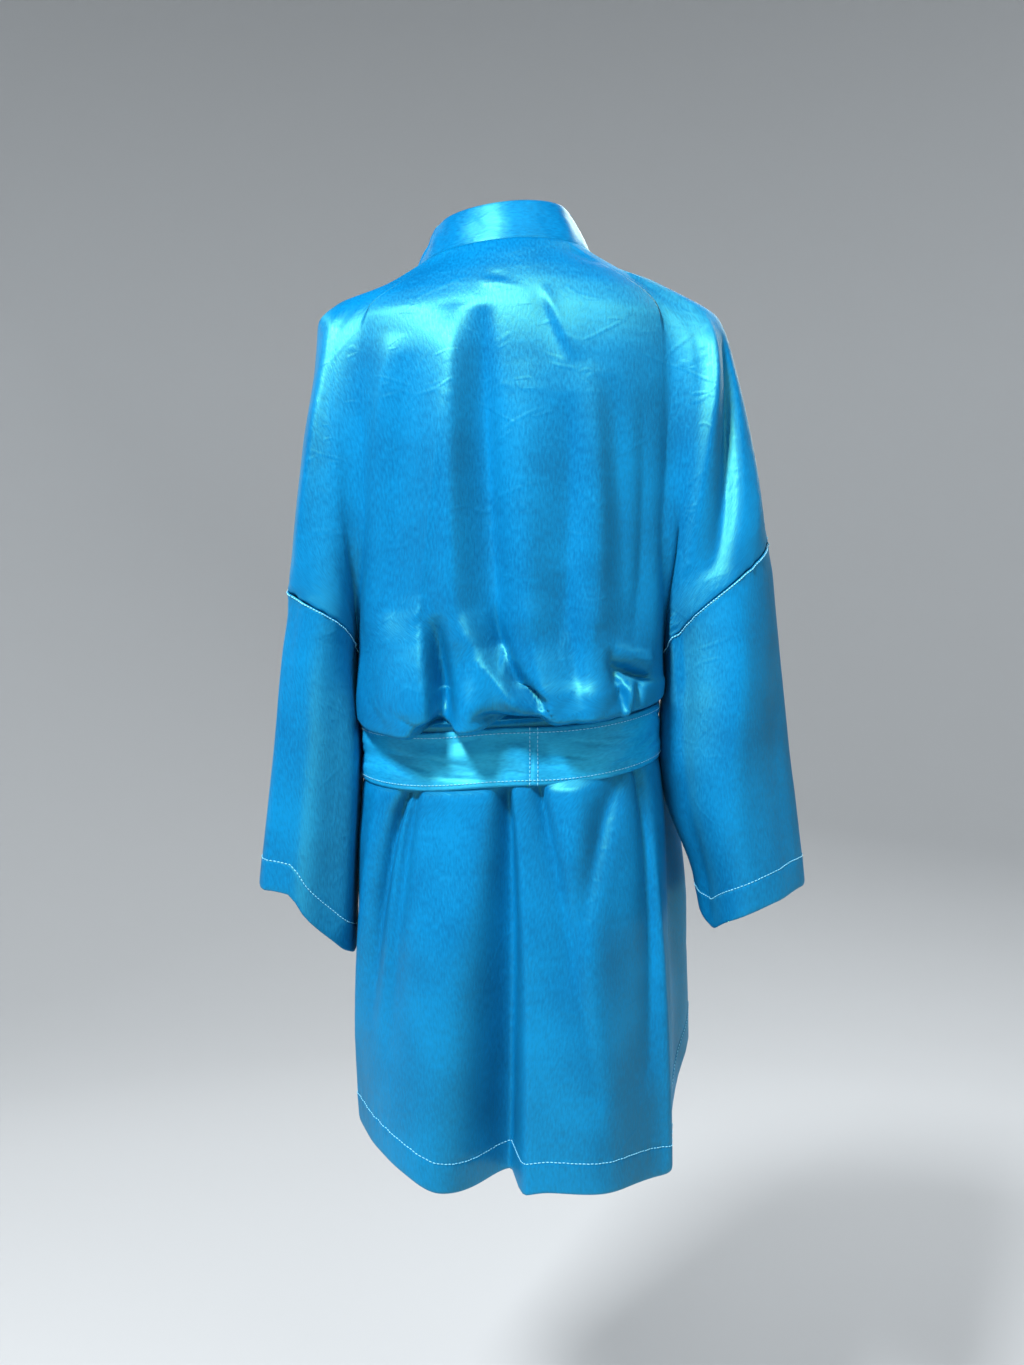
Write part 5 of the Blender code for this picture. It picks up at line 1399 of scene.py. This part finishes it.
def satin(name, deep=SATIN_DEEP, light=SATIN_LIGHT):
    """Polyester satin, woven with long warp floats: a soft, wide, slightly grainy sheen that runs
    across the floats, a deep even colour, and faint lines where it was pressed and folded."""
    material, tree, shader = new_material(name)
    place = add(tree, "ShaderNodeTexCoord").outputs["Object"]
    lengths = add(tree, "ShaderNodeUVMap", uv_map="cloth").outputs["UV"]

    clouds = add(tree, "ShaderNodeTexNoise", {
        "Vector": place, "Scale": 1 / CLOUD_SIZE, "Detail": 3.0})
    floats = add(tree, "ShaderNodeMapping", {
        "Vector": lengths, "Scale": (1 / FLOAT_WIDTH, 1 / FLOAT_LENGTH, 1)})
    grain = add(tree, "ShaderNodeTexNoise", {
        "Vector": floats.outputs[0], "Scale": 1.0, "Detail": 2.0}).outputs["Fac"]
    shade = add(tree, "ShaderNodeMath", {0: clouds.outputs["Fac"], 1: grain}, operation="ADD")
    depth = add(tree, "ShaderNodeMapRange", {
        "Value": shade.outputs[0], "From Min": 0.75, "From Max": 1.25})
    dyed = add(tree, "ShaderNodeMix", {
        "Factor": depth.outputs[0], 6: from_hex(deep), 7: from_hex(light)}, data_type="RGBA")
    tree.links.new(dyed.outputs[2], shader.inputs["Base Color"])

    gloss = add(tree, "ShaderNodeMapRange", {
        "Value": grain, "From Min": 0.3, "From Max": 0.7,
        "To Min": SATIN_GLOSS[0], "To Max": SATIN_GLOSS[1]})
    tree.links.new(gloss.outputs[0], shader.inputs["Roughness"])

    falling = add(tree, "ShaderNodeMapping", {
        "Vector": place, "Scale": (1 / SLACK_WIDTH, 1 / SLACK_WIDTH, 1 / SLACK_LENGTH)})
    slack = add(tree, "ShaderNodeTexNoise", {
        "Vector": falling.outputs[0], "Scale": 1.0, "Detail": 0.0})
    soft = add(tree, "ShaderNodeBump", {
        "Height": slack.outputs["Fac"], "Strength": 1.0, "Distance": SLACK_DEPTH})
    pressed = add(tree, "ShaderNodeBump", {
        "Height": press_lines(tree, place), "Strength": 1.0, "Distance": PRESS_DEPTH,
        "Normal": soft.outputs[0]})
    woven = add(tree, "ShaderNodeBump", {
        "Height": grain, "Strength": 1.0, "Distance": FLOAT_DEPTH, "Normal": pressed.outputs[0]})
    tree.links.new(woven.outputs[0], shader.inputs["Normal"])

    tangent = add(tree, "ShaderNodeTangent", direction_type="UV_MAP", uv_map="cloth")
    tree.links.new(tangent.outputs[0], shader.inputs["Tangent"])
    for socket, value in SATIN_SHEEN.items():
        shader.inputs[socket].default_value = value
    shader.inputs["Specular Tint"].default_value = from_hex(SHEEN_TINT)
    return material


def press_lines(tree, place):
    """Thin broken lines left by folding: edges between long cells, where a cloud lets them show."""
    total = None
    for size, drawn, slant, low, high, start in PRESS_NETS:
        bent = add(tree, "ShaderNodeTexNoise", {"Vector": place, "Scale": 0.4 / size, "Detail": 1.0})
        shift = add(tree, "ShaderNodeVectorMath", {
            0: bent.outputs["Color"], 1: (size * 0.20,) * 3}, operation="MULTIPLY")
        moved = add(tree, "ShaderNodeVectorMath", {0: place, 1: shift.outputs[0]}, operation="ADD")
        turned = add(tree, "ShaderNodeMapping", {
            "Vector": moved.outputs[0], "Location": (start,) * 3,
            "Rotation": (0.0, slant, 0.0), "Scale": (size * drawn, size, size)},
            vector_type="TEXTURE")
        cells = add(tree, "ShaderNodeTexVoronoi", {
            "Vector": turned.outputs[0], "Scale": 1.0}, feature="DISTANCE_TO_EDGE")
        line = add(tree, "ShaderNodeMapRange", {
            "Value": cells.outputs["Distance"], "From Min": 0.0, "From Max": PRESS_WIDTH / size,
            "To Min": 1.0, "To Max": 0.0}, interpolation_type="SMOOTHSTEP")
        cloud = add(tree, "ShaderNodeTexNoise", {
            "Vector": moved.outputs[0], "Scale": 0.9 / size, "Detail": 0.0})
        shown = add(tree, "ShaderNodeMapRange", {
            "Value": cloud.outputs["Fac"], "From Min": low, "From Max": high})
        part = add(tree, "ShaderNodeMath", {
            0: line.outputs[0], 1: shown.outputs[0]}, operation="MULTIPLY").outputs[0]
        if total is None:
            total = part
        else:
            total = add(tree, "ShaderNodeMath", {0: total, 1: part}, operation="ADD").outputs[0]
    return total


def thread():
    """Polyester sewing thread, paler than the cloth and a little glossy."""
    material, tree, shader = new_material("sewing_thread")
    place = add(tree, "ShaderNodeTexCoord").outputs["Object"]
    speck = add(tree, "ShaderNodeTexNoise", {
        "Vector": place, "Scale": 1 / THREAD_SPECK, "Detail": 1.0})
    shade = add(tree, "ShaderNodeMix", {
        "Factor": speck.outputs["Fac"], 6: from_hex(THREAD_DEEP), 7: from_hex(THREAD_LIGHT)},
        data_type="RGBA")
    tree.links.new(shade.outputs[2], shader.inputs["Base Color"])
    shader.inputs["Roughness"].default_value = 0.5
    return material


def stitch_tree(material):
    """A row of stitches along a curve: each a slim grain of thread, set end to end with a gap."""
    tree = bpy.data.node_groups.new("stitch_row", "GeometryNodeTree")
    face = tree.interface
    face.new_socket("Path", in_out="INPUT", socket_type="NodeSocketGeometry")
    for name, value in zip(("Pitch", "Length", "Thickness", "Waver"), (*HEM_SEWING, STITCH_WAVER)):
        socket = face.new_socket(name, in_out="INPUT", socket_type="NodeSocketFloat")
        socket.default_value = value
    face.new_socket("Stitches", in_out="OUTPUT", socket_type="NodeSocketGeometry")
    given = add(tree, "NodeGroupInput").outputs
    points = add(tree, "GeometryNodeResampleCurve", {
        "Curve": given["Path"], "Length": given["Pitch"]}, mode="LENGTH")
    grain = add(tree, "GeometryNodeMeshUVSphere", {"Segments": 6, "Rings": 5, "Radius": 0.5})
    size = add(tree, "ShaderNodeCombineXYZ", {
        0: given["Length"], 1: given["Thickness"], 2: given["Thickness"]})
    shaped = add(tree, "GeometryNodeTransform", {
        "Geometry": grain.outputs[0], "Scale": size.outputs[0]})
    tangent = add(tree, "GeometryNodeInputTangent")
    opposite = add(tree, "ShaderNodeMath", {0: given["Waver"], 1: -1.0}, operation="MULTIPLY")
    low = add(tree, "ShaderNodeCombineXYZ", {axis: opposite.outputs[0] for axis in range(3)})
    high = add(tree, "ShaderNodeCombineXYZ", {axis: given["Waver"] for axis in range(3)})
    waver = add(tree, "FunctionNodeRandomValue", {
        0: low.outputs[0], 1: high.outputs[0], "Seed": STITCH_SEED}, data_type="FLOAT_VECTOR")
    leaning = add(tree, "ShaderNodeVectorMath", {
        0: tangent.outputs[0], 1: waver.outputs[0]}, operation="ADD")
    turned = add(tree, "FunctionNodeAlignRotationToVector", {"Vector": leaning.outputs[0]}, axis="X")
    rows = add(tree, "GeometryNodeInstanceOnPoints", {
        "Points": points.outputs[0], "Instance": shaped.outputs[0], "Rotation": turned.outputs[0]})
    real = add(tree, "GeometryNodeRealizeInstances", {"Geometry": rows.outputs[0]})
    smooth = add(tree, "GeometryNodeSetShadeSmooth", {"Geometry": real.outputs[0]})
    painted = add(tree, "GeometryNodeSetMaterial", {
        "Geometry": smooth.outputs[0], "Material": material})
    add(tree, "NodeGroupOutput", {"Stitches": painted.outputs[0]})
    return tree


def stitches(name, paths, tree, sewing=HEM_SEWING):
    """Rows of stitches along lists of points, as one plain mesh."""
    curve = bpy.data.curves.new(name, "CURVE")
    curve.dimensions = "3D"
    for path in paths:
        spline = curve.splines.new("POLY")
        spline.points.add(len(path) - 1)
        spline.points.foreach_set("co", np.c_[path, np.ones(len(path))].ravel())
    guide = new_object(name + "_guide", curve)
    rows = guide.modifiers.new("stitches", "NODES")
    rows.node_group = tree
    inputs = [item for item in tree.interface.items_tree if item.in_out == "INPUT"]
    sockets = {item.name: item.identifier for item in inputs}
    for socket, value in zip(("Pitch", "Length", "Thickness"), sewing):
        rows[sockets[socket]] = value
    bpy.context.view_layer.update()
    evaluated = guide.evaluated_get(bpy.context.evaluated_depsgraph_get())
    data = bpy.data.meshes.new_from_object(evaluated)
    bpy.data.objects.remove(guide, do_unlink=True)
    row = new_object(name, data)
    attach(row, "root")
    return row


def row_at(points, distance, closed=False, from_top=False):
    """The line on a grid at a distance from its lower or its upper edge, a little outside it."""
    raised = lift(points, np.full(points.shape[:2], STITCH_LIFT), closed)
    if not from_top:
        points, raised = points[::-1], raised[::-1]
    gap = run_lengths(points, 0)
    line = [[np.interp(distance, gap[:, c], raised[:, c, axis]) for axis in range(3)]
            for c in range(points.shape[1])]
    return np.array(line + line[:1] if closed else line)


def sash_rows(points):
    """Rows of stitches along both edges of the sash and a pair up each side of its join."""
    raised = lift(points, np.full(points.shape[:2], SASH_STITCH_LIFT), True)
    edges = (SASH_STITCH_ROW, SASH_ROWS - 1 - SASH_STITCH_ROW)
    rows = [np.concatenate([raised[r], raised[r, :1]]) for r in edges]
    join = round((SASH_JOIN_ANGLE + math.pi) / FULL_TURN * SASH_COLUMNS)
    rows += [raised[1:-1, join + side] for side in (-2, 2)]
    return rows


def pale_floor():
    """A floor of matt paper that curves up all round."""
    rings = [(0.0, FLOOR_Z), (FLOOR_RADIUS, FLOOR_Z)]
    for step in range(1, FLOOR_BEND_STEPS + 1):
        bend = QUARTER * step / FLOOR_BEND_STEPS
        rings.append((FLOOR_RADIUS + FLOOR_BEND * math.sin(bend),
                      FLOOR_Z + FLOOR_BEND * (1 - math.cos(bend))))
    rings.append((FLOOR_RADIUS + FLOOR_BEND, WALL_TOP))
    mesh = bmesh.new()
    edge = [mesh.verts.new((r, 0, z)) for r, z in rings]
    line = [mesh.edges.new(pair) for pair in zip(edge, edge[1:])]
    bmesh.ops.spin(mesh, geom=edge + line, cent=(0, 0, 0), axis=(0, 0, 1), angle=FULL_TURN,
                   steps=FLOOR_SIDES, use_duplicate=False)
    bmesh.ops.remove_doubles(mesh, verts=mesh.verts, dist=1e-4)
    bmesh.ops.recalc_face_normals(mesh, faces=mesh.faces)
    data = bpy.data.meshes.new("pale_floor")
    mesh.to_mesh(data)
    mesh.free()
    data.shade_smooth()
    paper, _, surface = new_material("matt_paper")
    surface.inputs["Base Color"].default_value = from_hex(PAPER_COLOUR)
    surface.inputs["Roughness"].default_value = 0.9
    data.materials.append(paper)
    new_object("pale_floor", data)


def studio():
    """The floor, soft lights, faint light from all round and the camera."""
    pale_floor()
    for name, place, size, power in LIGHTS:
        lamp = bpy.data.lights.new(name, "AREA")
        lamp.shape = "RECTANGLE"
        lamp.size, lamp.size_y = size
        lamp.energy = power
        light = new_object(name, lamp)
        light.location = place
        light.rotation_euler = (ROBE_MIDDLE - Vector(place)).to_track_quat("-Z", "Y").to_euler()

    world = bpy.data.worlds.new("studio")
    world.use_nodes = True
    air = world.node_tree.nodes["Background"]
    air.inputs["Color"].default_value = from_hex(AIR_COLOUR)
    air.inputs["Strength"].default_value = AIR_LIGHT
    bpy.context.scene.world = world
    bpy.context.scene.view_settings.view_transform = "Standard"

    lens = bpy.data.cameras.new("camera")
    lens.sensor_width = SENSOR
    lens.lens = SENSOR * FOCAL_PIXELS / IMAGE_HEIGHT
    camera = new_object("camera", lens)
    camera.location = CAMERA_PLACE
    camera.rotation_euler = (QUARTER, 0, math.pi)
    bpy.context.scene.camera = camera


back, back_lower = back_cloth()
front_left, left_lower = front_cloth("left")
front_right, right_lower = front_cloth("right")
sleeve_left, left_sleeve = sleeve_cloth("left")
sleeve_right, right_sleeve = sleeve_cloth("right")
neckband = neckband_cloth()
sash, sash_points = sash_cloth()
knot = knot_cloth()
tail_left = tail_cloth("left")
tail_right = tail_cloth("right")

row_tree = stitch_tree(thread())
for part, grid in (("back", back_lower), ("front_left", left_lower), ("front_right", right_lower)):
    stitches(part + "_hem_stitches", [row_at(grid, HEM_STITCH)], row_tree)
sleeves = {"left": left_sleeve, "right": right_sleeve}
for side, grid in sleeves.items():
    path = row_at(grid, HEM_STITCH, closed=True)
    stitches("cuff_%s_stitches" % side, [path], row_tree)
for side, grid in sleeves.items():
    path = row_at(grid, SLEEVE_SEAM_STITCH, closed=True, from_top=True)
    stitches("sleeve_%s_seam_stitches" % side, [path], row_tree, SEAM_SEWING)
sash_stitches = stitches("sash_stitches", sash_rows(sash_points), row_tree, SASH_SEWING)

studio()
